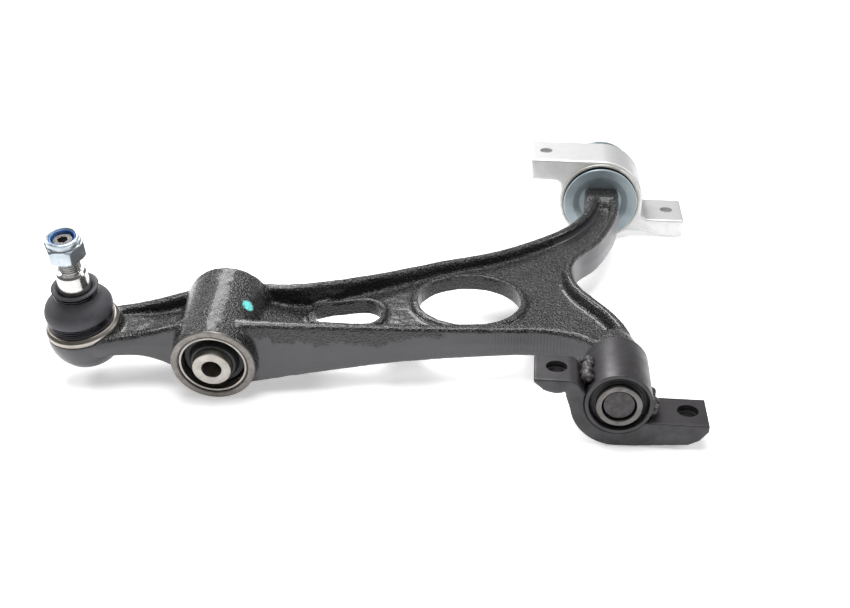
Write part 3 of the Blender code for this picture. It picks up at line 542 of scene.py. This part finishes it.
def paintMasks(obj):
    # where the flash was trimmed, where the cutter missed, how deep it chattered, and a dab of marking paint
    mesh = obj.data
    names = ("trimmed", "missedPatch", "cutterMarks", "paintDot")
    values = {name: [0.0] * len(mesh.vertices) for name in names}
    origin = at(0, 0, 0)
    dotPlace = at(*arm["dot"])
    normals = [v.normal.copy() for v in mesh.vertices]
    moved = []
    for vertex, n in zip(mesh.vertices, normals):
        x, y, z = ((vertex.co - origin) / mm)[:]
        wobble = noise.noise(vertex.co * 90) * 1.1 + noise.noise(vertex.co * 320) * 0.5
        facing = ease(-n.y, 0.55, 0.8)
        wall = 0.0
        crest = frontLine(x) - 3.4 + wobble
        if -231 < x < -10 and y < 90 or -338 < x < -272 and y < 62:
            fade = ease(x, -229, -224) if x > -245 else 1 - ease(x, -283, -277)
            wall = facing * (1 - ease(z, crest - 0.5, crest + 0.5)) * fade
        back = 0.0
        if x > -225 and n.y > 0.45 and y > 90:
            back = ease(n.y, 0.45, 0.7) * (1 - ease(z, 8.0 + wobble, 9.0 + wobble))
        inner = 0.0
        if x > -38 and n.x > 0.3:
            inner = ease(n.x, 0.3, 0.6) * (1 - ease(z, 8.2 + wobble, 9.2 + wobble))
        toDome = (vertex.co - ballCentre).length / mm
        dome = 1 - ease(toDome, 27.5, 30.5)
        dome *= 1 - ease(x, -328, -322)
        trim = max(wall, back, inner, dome)
        reach = (1 - ease(x, -150, -120)) * (0.6 + 0.4 * ease(x, -225, -205))
        edge = crest - 2.0 - 7.5 * reach + wobble * 2.4
        values["trimmed"][vertex.index] = trim
        missed = wall * ease(z, edge - 0.4, edge + 0.4) * (1 - ease(x, -112, -104))
        values["missedPatch"][vertex.index] = missed * (x > -245)
        values["cutterMarks"][vertex.index] = wall * (0.15 + 0.85 * ease(x, -150, -60)) * (x > -245)
        toDot = (vertex.co - dotPlace).length / mm + wobble * 0.5
        values["paintDot"][vertex.index] = 1 - ease(toDot, arm["dotRadius"] - 0.6, arm["dotRadius"])
        axial = (vertex.co - bossMiddle).cross(bossAxis).length / mm
        if trim < 0.5 and axial > 24.5 and toDome > 30:
            lift = noise.noise(vertex.co * 260) * 0.16 + noise.noise(vertex.co * 110) * 0.14
            moved.append((vertex.index, vertex.co + n * lift * mm))
    for index, place in moved:
        mesh.vertices[index].co = place
    for name in names:
        mesh.attributes.new(name, "FLOAT", "POINT")
        mesh.attributes[name].data.foreach_set("value", values[name])
    mesh.update()


armForging = makeArm()
paintMasks(armForging)
smoothShade(armForging, 50)
finish(armForging, "arm", ["arm_forging"], enamelPaint)

# Raised rims of the two lightening holes, rolled over by the punch: growth outwards and height.
rim = {"section": [(0.0, 3.0), (0.0, 5.6), (0.7, 6.4), (1.7, 6.6), (2.7, 6.3), (3.5, 5.4), (3.9, 3.0)]}


def makeRim(name, outline):
    return lofted(name, [[at(x, y, z) for x, y in outline(grow)] for grow, z in rim["section"]], True)


def holeOutline(grow):
    cx, cy, radius = arm["roundHole"]
    return arc(cx, cy, radius + grow, 0, 357.5, 143)


holeRim = makeRim("roundHoleRim", holeOutline)
slotRim = makeRim("slotRim", slotOutline)
for piece in (holeRim, slotRim):
    smoothShade(piece, 60)
    finish(piece, "arm", [], enamelPaint)
print("arm forging", len(armForging.data.polygons))


# Plain journals and machined faces on the arm. A profile is radius, height and, where given, corner radius.
journal = {
    "front": [(0, 51.0), (14.0, 51.0, 0.2), (14.2, 48.3, 0.6), (10, 48.3, 0.4), (10, 2.7, 0.5),
              (9.1, 1.6, 0.4), (0, 1.6)],
    "rear": [(0, 296), (11.5, 296, 0.5), (11.5, 301.2, 0.6), (10, 301.2, 0.3), (10, 359.4, 0.5),
             (7.4, 360.2, 0.5), (7.4, 377.6, 0.4), (6.6, 378.5, 0.3), (0, 378.5)],
}
frontJournal = turned("frontJournal", journal["front"], at(0, 0, 0), pivotAxis)
finish(frontJournal, "arm", [], facedPin)
rearJournal = turned("rearJournal", journal["rear"], at(0, 0, 0), pivotAxis)
finish(rearJournal, "arm", [], boreSteel)

bossEnd = {"profile": [(21.9, -1.6), (21.9, -0.5, 0.3), (22.9, 0.14, 0.2), (26.2, 0.14, 0.5),
                       (26.7, -0.7, 0.3), (26.6, -1.6)], "steps": 160}
bossBack = bossFace + bossAxis * bossLength * mm
for name, base, way in (("bossFaceFront", bossFace, -bossAxis), ("bossFaceRear", bossBack, bossAxis)):
    face = turned(name, bossEnd["profile"], base, way, bossEnd["steps"])
    finish(face, "arm", [], facedSteel)

# Pressed-in sleeves and rubber of the damper boss.
damper = {
    "outer": [(21.5, 0.5, 0.3), (21.5, 67, 0.3), (19.9, 67, 0.5), (19.9, 0.5, 0.6)],
    "rubber": [(12.4, 66.2), (14.1, 65.6), (15.1, 60), (19.6, 61), (19.6, 6.5), (15.6, 8), (14.3, 2),
               (12.4, 1.2)],
    "inner": [(12.1, -4, 0.6), (12.1, 71.5, 0.6), (6.3, 71.5, 0.5), (6.3, -4, 0.5)],
}
damperOuter = turned("damperOuterSleeve", damper["outer"], bossFace, bossAxis, 128)
finish(damperOuter, "arm", ["damper_bush_outer_sleeve"], rolledSteel)
damperRubber = turned("damperRubber", damper["rubber"], bossFace, bossAxis, 96, 1.6, 6)
finish(damperRubber, "arm", ["damper_bush_rubber"], bushRubber)
damperInner = turned("damperInnerSleeve", damper["inner"], bossFace, bossAxis, 96)
finish(damperInner, "damper_sleeve", ["damper_bush_inner_sleeve"], boreFace)

retainer = {"profile": [(22.0, 2.6, 0.5), (23.8, 0.9, 0.5), (24.1, -0.4, 0.3), (23.9, -1.9, 0.3),
                        (17.2, -1.9, 0.3), (17.2, 1.8, 0.5), (18.6, 2.6, 0.5)], "steps": 128}
ring = turned("retainingRing", retainer["profile"], ringCentre, housingAxis, retainer["steps"])
finish(ring, "arm", ["retaining_ring"], rolledSteel)

innerSleeve = {"profile": [(13.6, 0, 0.5), (13.6, 48.5, 0.5), (10.3, 48.5, 0.4), (10.3, 0, 0.5)]}
frontSleeve = turned("frontBushInnerSleeve", innerSleeve["profile"], at(0, 0, 0), pivotAxis)
finish(frontSleeve, "arm", ["front_bush_inner_sleeve"], sleeveSteel)

# Dished washers at the rear bush: the front one's rim leans forwards, the back one's backwards.
washers = {
    "rim": 29.7, "rimEdge": 29.3, "slope": 22, "hub": 17.0, "hole": 10.3, "dish": 0.4,
    "front": {"hub": (301.8, 304.2), "edge": (297.6, 300.0), "way": -1},
    "back": {"hub": (357.3, 359.7), "edge": (361.5, 363.9), "way": 1},
}
for name, node, side in (("rearWasherFront", "rear_washer_front", washers["front"]),
                         ("rearWasherBack", "rear_washer_back", washers["back"])):
    (hubLow, hubHigh), (edgeLow, edgeHigh) = side["hub"], side["edge"]
    dish = washers["dish"] * side["way"]
    profile = [(washers["hole"], hubHigh, 0.3), (washers["hub"], hubHigh, 4),
               (washers["slope"], (hubHigh + edgeHigh) / 2 + dish, 4), (washers["rimEdge"], edgeHigh, 0.6),
               (washers["rim"], (edgeLow + edgeHigh) / 2, 0.6), (washers["rimEdge"], edgeLow, 0.6),
               (washers["slope"], (hubLow + edgeLow) / 2 + dish, 4), (washers["hub"], hubLow, 4),
               (washers["hole"], hubLow, 0.3)]
    washer = turned(name, profile, at(0, 0, 0), pivotAxis, 160, 0.4, 6)
    finish(washer, "arm", [node], washerZinc)


def hexNut(name, flats, crown, bore, centre, axis, corner):
    # a hexagon, one corner facing a given way, its ends turned off by a round blank, then bored
    wide = flats / math.sqrt(3) * mm
    axis = Vector(axis)
    side = (Vector(corner) - axis * axis.dot(Vector(corner))).normalized()
    across = axis.cross(side)
    rings = []
    for height in (crown[-1][1] - 5, crown[0][1] + 5):
        middle = Vector(centre) + axis * height * mm
        rings.append([middle + (side * math.cos(math.pi / 3 * k) + across * math.sin(math.pi / 3 * k)) * wide
                      for k in range(6)])
    prism = lofted(name, rings)
    applyModifier(prism, "BEVEL", width=0.3 * mm, segments=2, limit_method="ANGLE",
                  angle_limit=math.radians(50))
    combine(prism, turned("crown", crown, centre, axis, 96, 0.35), "INTERSECT")
    combine(prism, turned("hexBore", blank(*bore), centre, axis, 96, 0), "DIFFERENCE")
    return smoothShade(prism, 30)


lockNut = {
    "flats": 24, "crown": [(0, 374), (12.0, 374), (13.8, 372.8), (13.8, 361), (12.6, 360), (0, 360)],
    "bore": (7.7, 390, 350), "corner": (0.3, 0, 1),
}
journalNut = hexNut("rearJournalNut", lockNut["flats"], lockNut["crown"], lockNut["bore"], at(0, 0, 0),
                    pivotAxis, lockNut["corner"])
finish(journalNut, "arm", ["rear_journal_nut"], zincPlate)
print("arm fittings")

# Ball stud: polished shank, coarse-pitch look of the M14 x 1.5 thread, drilled hexagon end.
stud = {
    "shank": [(0, 52), (6.1, 52), (6.1, 50.4, 0.3), (8.3, 49.7, 0.5), (9.3, 48.3, 0.6), (10.5, 36.5, 1),
              (10.5, 31, 1), (8.4, 22, 2), (8.4, 12.2, 1)],
    "ball": 14.0, "ballSpan": 52, "pitch": 1.5, "crest": 6.95, "rootRadius": 6.1, "steps": 128,
    "threadStart": 50.5, "firstCrest": 50.9, "lastCrest": 72.4, "tip": 74, "socket": (3.46, 67.5, 80),
}


def makeStud():
    profile = list(stud["shank"])
    for k in range(11):
        turn = math.radians(stud["ballSpan"] - 2 * stud["ballSpan"] * k / 10)
        profile.append((stud["ball"] * math.cos(turn), stud["ball"] * math.sin(turn), 0))
    profile.append((0, -stud["ball"] * math.sin(math.radians(stud["ballSpan"]))))
    shank = turned("ballStud", profile, ballCentre, studAxis, stud["steps"])
    thread = [(0, stud["threadStart"]), (stud["rootRadius"], stud["threadStart"])]
    height = stud["firstCrest"]
    while height < stud["lastCrest"]:
        thread += [(stud["rootRadius"], height), (stud["crest"], height + stud["pitch"] * 0.42),
                   (stud["crest"], height + stud["pitch"] * 0.58)]
        height += stud["pitch"]
    thread += [(stud["rootRadius"] + 0.2, 73.6), (5.7, stud["tip"]), (0, stud["tip"])]
    rod = turned("studThread", thread, ballCentre, studAxis, 96, 0)
    socket = turned("socketTool", blank(*stud["socket"]), ballCentre, studAxis, 6, 0)
    combine(rod, socket, "DIFFERENCE")
    smoothShade(rod, 30)
    return shank, rod


ballStud, studThread = makeStud()
finish(ballStud, "stud", ["ball_stud"], groundSteel)
finish(studThread, "stud", [], threadSteel)

# Flange-topped lock nut: hexagon, rolled collar and the nylon ring it holds.
topNut = {
    "flats": 22, "crown": [(0, 71.6), (11.2, 71.6), (12.9, 70.2), (12.9, 63.0), (11.4, 61.6), (0, 61.6)],
    "bore": (7.2, 90, 50), "corner": (0.54, -0.84, 0),
    "collar": [(7.6, 71.2), (7.6, 75.2, 0.2), (8.8, 76.4, 0.4), (10.0, 76.1, 0.7), (10.4, 74.4, 0.7),
               (10.1, 72.2, 0.5), (10.9, 71.3, 0.3)],
    "nylon": [(7.15, 72.2), (7.15, 75.6, 0.5), (8.6, 75.8, 0.5), (8.6, 72.2)],
}
studNut = hexNut("studNut", topNut["flats"], topNut["crown"], topNut["bore"], ballCentre, studAxis,
                 topNut["corner"])
finish(studNut, "stud", ["stud_nut"], zincPlate)
nutCollar = turned("nutCollar", topNut["collar"], ballCentre, studAxis)
finish(nutCollar, "stud", [], zincPlate)
nylon = turned("nylonRing", topNut["nylon"], ballCentre, studAxis)
finish(nylon, "stud", ["nylon_insert"], blueNylon)

# Rubber boot: its rings lean from the housing's axis to the stud's between the two heights below.
boot = {
    "outer": [(20.8, 9.4), (20.9, 10.1), (19.5, 10.8), (19.2, 12.6), (19.3, 14.4), (20.3, 15.3), (21.4, 16.6),
              (21.9, 18.6), (21.6, 21.2), (20.4, 23.8), (18.0, 26.4), (15.0, 28.7), (13.5, 30.6)],
    "inner": [(17.6, 9.4), (17.5, 13.5), (19.0, 16), (19.0, 21), (17.4, 24.6), (15.2, 27.2), (12.9, 29.4),
              (12.0, 30.6)],
    "collarOuter": [(14.3, 30.4), (13.2, 31.4), (12.9, 33), (13.2, 34.8), (14.4, 36.0), (14.9, 36.9),
                    (14.2, 37.6)],
    "collarInner": [(11.6, 30.2), (10.75, 32), (10.75, 35.5), (11.9, 37.0), (13.0, 37.6)],
    "leanFrom": 11, "leanTo": 31, "split": 20, "lowerBlend": (11.5, 19.5), "upperBlend": (20.5, 28.0),
    "wire": 0.8, "lowerCoils": (11.3, 12.9, 14.5), "upperCoils": (32.4, 34.0),
}


def bootRing(radius, height, count=96):
    part = min(max((height - boot["leanFrom"]) / (boot["leanTo"] - boot["leanFrom"]), 0), 1)
    axis = (housingAxis * (1 - part) + studAxis * part).normalized()
    side = axis.cross(Vector((0, 1, 0))).normalized()
    up = axis.cross(side)
    middle = ballCentre + axis * height * mm
    turns = [2 * math.pi * i / count for i in range(count)]
    return [middle + (side * math.cos(turn) + up * math.sin(turn)) * radius * mm for turn in turns]


def fine(profile, step=0.7):
    return [(p[0], p[1]) for p in smoothPath(profile, step)]


def bootShell(name, outer, inner):
    obj = lofted(name, [bootRing(r, h) for r, h in outer + list(reversed(inner))], True)
    return smoothShade(obj, 60)


def cutAt(profile, height, keepLow):
    # the part of a fine profile on one side of a height, ended exactly there
    fineLine = fine(profile)
    kept = [p for p in fineLine if (p[1] < height) == keepLow]
    radius = next(a[0] + (b[0] - a[0]) * (height - a[1]) / (b[1] - a[1])
                  for a, b in zip(fineLine, fineLine[1:]) if a[1] < height <= b[1])
    return kept + [(radius, height)] if keepLow else [(radius, height)] + kept


for name, keepLow, bodies, heights in (("bootLowerBellows", True, ("arm", "boot"), boot["lowerBlend"]),
                                       ("bootUpperBellows", False, ("boot", "boot_top"), boot["upperBlend"])):
    outer, inner = (cutAt(boot[side], boot["split"], keepLow) for side in ("outer", "inner"))
    shell = bootShell(name, outer, inner)
    shell.data.materials.append(bootRubber)
    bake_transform(shell)
    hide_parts("boot_bellows")
collar = bootShell("bootCollar", fine(boot["collarOuter"]), fine(boot["collarInner"]))
finish(collar, "boot_top", ["boot_collar"], bootRubber)
for name, body, node, radius, heights in (
        ("bootLowerClamp", "arm", "boot_lower_ring", 19.9, boot["lowerCoils"]),
        ("bootUpperClamp", "boot_top", "boot_upper_ring", 13.4, boot["upperCoils"])):
    # a round-wire spring wound side by side in its groove
    turns = []
    for height in heights:
        wire = arc(radius, height, boot["wire"], 0, 330, 11)
        turns.append(lofted(name, [bootRing(r, h) for r, h in wire], True))
    clamp = smoothShade(joined(name, turns), 80)
    finish(clamp, body, [node], clampSteel)
print("ball joint")

# Front bracket: 3.5 mm pressed plate folded over the tube, two weld nuts, two weld beads.
bracket = {
    "near": 2.8, "flange": 3.5, "far": 32.0, "bend": 4.2, "bolt": 6.5,
    "ears": ((-37.5, 14.5), (43.0, -12.5)), "earY": 18.5, "voxel": 0.62, "tubeHole": (20.25, 60, -10),
    "saddle": [(-51, 14.5), (-30, 14.5)] + arc(-30, 7.3, 7.2, 90, 20, 8)[1:] + arc(0, 0, 20.6, 164, 323, 40)
              + [(20.5, -12.5), (54.5, -12.5), (54.5, -16), (22, -16)] + arc(0, 0, 24.1, 318, 172, 40)
              + arc(-29.8, 7.8, 3.2, 20, 90, 6) + [(-51, 11)],
    "below": [(54.5, -17), (49.5, -23.5), (43, -27), (12, -29.5)] + arc(0, -1.2, 28.8, 270, 190, 24)
             + [(-31.5, 3.5), (-31.5, 6.2), (-44.5, 6.6), (-51, 12.4)],
    "clear": [(-56, 11), (-56, -40), (60, -40), (60, -16)],
    "tube": [(20.3, 2, 0.5), (20.3, 47.5, 0.5), (17.9, 47.5, 0.5), (17.9, 2, 0.6)],
    "rubber": [(17.7, 44.5, 1), (17.7, 5.5, 1), (15.2, 4.5, 1), (13.7, 3.2, 0.5), (13.7, 46.2, 0.5),
               (15.2, 45.6, 1)],
}


def makeBracketPlate():
    top = bracket["saddle"][:bracket["saddle"].index((54.5, -12.5)) + 1]
    whole = top + bracket["below"]
    solid = extruded("frontBracketPlate", whole, bracket["near"], bracket["far"], True)
    # only the two upper edges of the near flange are folded round a radius
    solid.data.attributes.new("bevel_weight_edge", "FLOAT", "EDGE")
    nearY = at(0, bracket["near"], 0).y
    for edge in solid.data.edges:
        ends = [solid.data.vertices[i].co for i in edge.vertices]
        x, _, z = ((ends[0] + ends[1]) / 2 - at(0, 0, 0)) / mm
        front = abs(ends[0].y - nearY) < 1e-6 and abs(ends[1].y - nearY) < 1e-6
        upper = (-50.9 < x < -30 and z > 14) or (22 < x < 54.4 and -13 < z < -12)
        solid.data.attributes["bevel_weight_edge"].data[edge.index].value = 1.0 if front and upper else 0.0
    applyModifier(solid, "BEVEL", width=bracket["bend"] * mm, segments=6, limit_method="WEIGHT")
    under = bracket["saddle"][bracket["saddle"].index((54.5, -16)):]
    hollow = extruded("underside", under + bracket["clear"], bracket["near"] + bracket["flange"],
                      bracket["far"] + 2, True)
    combine(solid, hollow, "DIFFERENCE")
    tubeHole = turned("tubeHole", blank(*bracket["tubeHole"]), at(0, 0, 0), pivotAxis, 96, 0)
    combine(solid, tubeHole, "DIFFERENCE")
    remeshed(solid, bracket["voxel"], 3)
    for x, z in bracket["ears"]:
        drilled(solid, at(x, bracket["earY"], z), bracket["bolt"], 12)
    return smoothShade(solid, 45)


plate = makeBracketPlate()
finish(plate, "front_bracket", ["front_bracket_plate"], dipCoat)
tube = turned("frontBracketTube", bracket["tube"], at(0, 0, 0), pivotAxis, 128)
finish(tube, "front_bracket", ["front_bracket_tube"], dipCoat)
bushRubberFront = turned("frontBushRubber", bracket["rubber"], at(0, 0, 0), pivotAxis)
finish(bushRubberFront, "front_bracket", ["front_bush_rubber"], bushRubber)

# Hand-laid weld beads: overlapping lumps of weld metal along the joint between plate and tube.
weld = {
    "lumps": 14, "from": 8.5, "step": 1.75, "radius": 2.9, "reach": 22.8, "wander": 5, "voxel": 0.5,
    "angles": (("weldBeadUpper", "weld_bead_upper", 146), ("weldBeadLower", "weld_bead_lower", -22)),
}
for name, node, angle in weld["angles"]:
    lumps = []
    draw = random.Random(angle)
    for k in range(weld["lumps"]):
        y = weld["from"] + weld["step"] * k
        bpy.ops.object.select_all(action="DESELECT")
        spread = math.radians(angle + draw.uniform(-weld["wander"], weld["wander"]))
        reach = weld["reach"] + draw.uniform(-0.8, 1.2)
        bpy.ops.mesh.primitive_uv_sphere_add(segments=20, ring_count=12, radius=weld["radius"] * mm,
                                             location=at(math.cos(spread) * reach, y,
                                                         math.sin(spread) * reach))
        lump = bpy.context.object
        lump.scale = (draw.uniform(0.95, 1.15), 0.95, draw.uniform(0.9, 1.15))
        bpy.ops.object.transform_apply(location=True, rotation=False, scale=True)
        lumps.append(lump)
    bead = joined(name, lumps)
    remeshed(bead, weld["voxel"], 1)
    finish(smoothShade(bead, 60), "front_bracket", [node], weldCoat)

# Weld nuts under the ears; the crown is radius and depth below the nut's top.
weldNut = {
    "flats": 17.3, "plate": 3.8, "crown": [(0, 0), (9.4, 0), (10.0, 1), (10.0, 8.6), (9.0, 9.5), (0, 9.5)],
    "bore": (5.4, 30, -40), "corner": (0.2, -1, 0),
}
for name, node, (x, top) in (("weldNutOuter", "weld_nut_outer", bracket["ears"][0]),
                             ("weldNutInner", "weld_nut_inner", bracket["ears"][1])):
    high = top - weldNut["plate"]
    nut = hexNut(name, weldNut["flats"], [(r, high - depth) for r, depth in weldNut["crown"]],
                 weldNut["bore"], at(x, bracket["earY"], 0), (0, 0, 1), weldNut["corner"])
    finish(nut, "front_bracket", [node], dipCoat)
print("front bracket")

# Rear bracket: a die-cast block with two drilled feet, faced round the bush bore.
casting = {
    "outline": [(-58, 34.4), (-56.5, 16.5), (-38, 16.5)] + arc(-38, 11.5, 5, 90, 20, 6)[1:]
               + arc(0, 0, 33.6, 166, 240, 24)
               + [(-15, -30), (15, -30), (19, -27.6), (23, -25.6), (40, -25.6), (46, -29.3), (68.6, -29.3),
                  (69.7, -14.6), (41, -14.6)] + arc(40, -8.6, 6, 268, 192, 8) + arc(0, 0, 34.4, 356, 448, 28),
    "near": 303.0, "far": 346.0, "bore": (28.2, 400, 250), "edge": 1.3, "voxel": 0.85,
    "holes": ((-45.5, 25), (56.5, -22)), "holeY": 324.5, "holeRadius": 5.1,
    "face": [(30.6, 308), (30.6, 301.5, 0.3), (32.1, 301.5, 0.5), (32.4, 302, 0.3), (32.4, 308)],
    "underFeet": [(-60, -60), (60, -60), (60, -29.95), (-60, -29.95)],
}


def makeCasting():
    body = extruded("rearBracketCasting", casting["outline"], casting["near"], casting["far"], True)
    applyModifier(body, "BEVEL", width=casting["edge"] * mm, segments=3, limit_method="ANGLE",
                  angle_limit=math.radians(30))
    remeshed(body, casting["voxel"], 4)
    bore = turned("boreTool", blank(*casting["bore"]), at(0, 0, 0), pivotAxis, 160, 0)
    combine(body, bore, "DIFFERENCE")
    for x, z in casting["holes"]:
        drilled(body, at(x, casting["holeY"], z), casting["holeRadius"], 30)
    return smoothShade(body, 45)


castBracket = makeCasting()
finish(castBracket, "rear_bracket", ["rear_bracket_casting"], castAlloy)
machinedFace = turned("rearMachinedFace", casting["face"], at(0, 0, 0), pivotAxis, 160)
# the housing is flat underneath, level with the feet
combine(machinedFace, extruded("floorCut", casting["underFeet"], 290, 320, True), "DIFFERENCE")
smoothShade(machinedFace, 40)
finish(machinedFace, "rear_bracket", [], machinedAlloy)

# Rear bush: outer sleeve, and rubber with a lip over the machined face; the lip is a black ring put into the
# recess between the front washer and the casting, as painted shade.
rearBush = {
    "outer": [(27.9, 304, 0.4), (27.9, 347, 0.4), (26.4, 347, 0.4), (26.4, 304, 0.4)],
    # the points from radius 27 to 29.9 make the lip, black rubber standing in for the shade in that recess
    "rubber": [(26.2, 345), (26.2, 303.7), (27, 302.95, 0.2), (29.9, 302.95, 0.2), (29.9, 302.2, 0.3),
               (24, 302.2), (17, 305.4), (15.2, 305.4), (15.2, 349), (18, 349), (24, 348)],
}
rearOuter = turned("rearBushOuterSleeve", rearBush["outer"], at(0, 0, 0), pivotAxis, 128)
finish(rearOuter, "rear_bracket", ["rear_bush_outer_sleeve"], sleeveSteel)
rearRubber = turned("rearBushRubber", rearBush["rubber"], at(0, 0, 0), pivotAxis, 96, 1.0)
finish(rearRubber, "rear_bracket", ["rear_bush_rubber"], bushRubber)

for node, material in (("ball_seat", seatPlastic), ("rear_bush_inner_sleeve", sleeveSteel)):
    part = frame["nodes"][node]
    part.data.materials.clear()
    part.data.materials.append(material)
print("rear bracket")


# Floor, light and camera.
stage = {
    "floor": "#f4f4f5", "sky": "#ffffff", "skyLight": 0.2, "floorGlow": 0.45, "floorSize": 30,
    # each softbox: place, what it looks at, size and power
    "lights": {
        "softboxTop": ((-0.05, -0.05, 1.3), (0, 0, 0), 0.9, 19),
        "softboxBack": ((-0.35, 1.0, 1.1), (0, 0, 0), 0.6, 13),
        "softboxLeft": ((-1.15, 0.25, 0.8), (0, 0, 0.03), 0.35, 7),
        "softboxRight": ((1.15, 0.3, 0.8), (0.05, 0, 0.03), 0.35, 5),
    },
}
view = {"lens": 48.99, "sensor": 36, "place": (-60.27, -577.32, 380.14), "tilt": 61.34, "turn": 5.42}


def makeStage():
    bpy.ops.mesh.primitive_plane_add(size=stage["floorSize"], location=(0, 0, -0.0002))
    floor = bpy.context.object
    floor.name = "paleFloor"
    material, tree, shader, place = freshMaterial("matWhiteFloor")
    cloud = add(tree, "TexNoise", {"Scale": 1 / (300 * mm)}, {"Vector": place})
    tone = add(tree, "MapRange", {"To Min": 0.55, "To Max": 0.6}, {"Value": cloud})
    shader.inputs["Base Color"].default_value = colour(stage["floor"])
    tree.links.new(tone, shader.inputs["Roughness"])
    shader.inputs["Specular IOR Level"].default_value = 0.15
    shader.inputs["Emission Color"].default_value = colour(stage["sky"])
    shader.inputs["Emission Strength"].default_value = stage["floorGlow"]
    floor.data.materials.append(material)
    world = bpy.data.worlds.new("softStudio")
    bpy.context.scene.world = world
    world.use_nodes = True
    background = world.node_tree.nodes["Background"]
    background.inputs["Color"].default_value = colour(stage["sky"])
    background.inputs["Strength"].default_value = stage["skyLight"]
    for name, (place, aim, size, power) in stage["lights"].items():
        bpy.ops.object.light_add(type="AREA", location=place)
        lamp = bpy.context.object
        lamp.name = name
        lamp.data.size = size
        lamp.data.energy = power
        lamp.rotation_euler = (Vector(aim) - Vector(place)).to_track_quat("-Z", "Y").to_euler()


def makeCamera():
    data = bpy.data.cameras.new("view")
    data.lens = view["lens"]
    data.sensor_width = view["sensor"]
    data.clip_start, data.clip_end = 0.05, 60
    camera = bpy.data.objects.new("view", data)
    camera.location = at(*view["place"])
    camera.rotation_euler = (math.radians(view["tilt"]), 0, math.radians(view["turn"]))
    bpy.context.scene.collection.objects.link(camera)
    bpy.context.scene.camera = camera


makeStage()
makeCamera()
bpy.context.scene.view_settings.view_transform = "Standard"
print("stage ready")
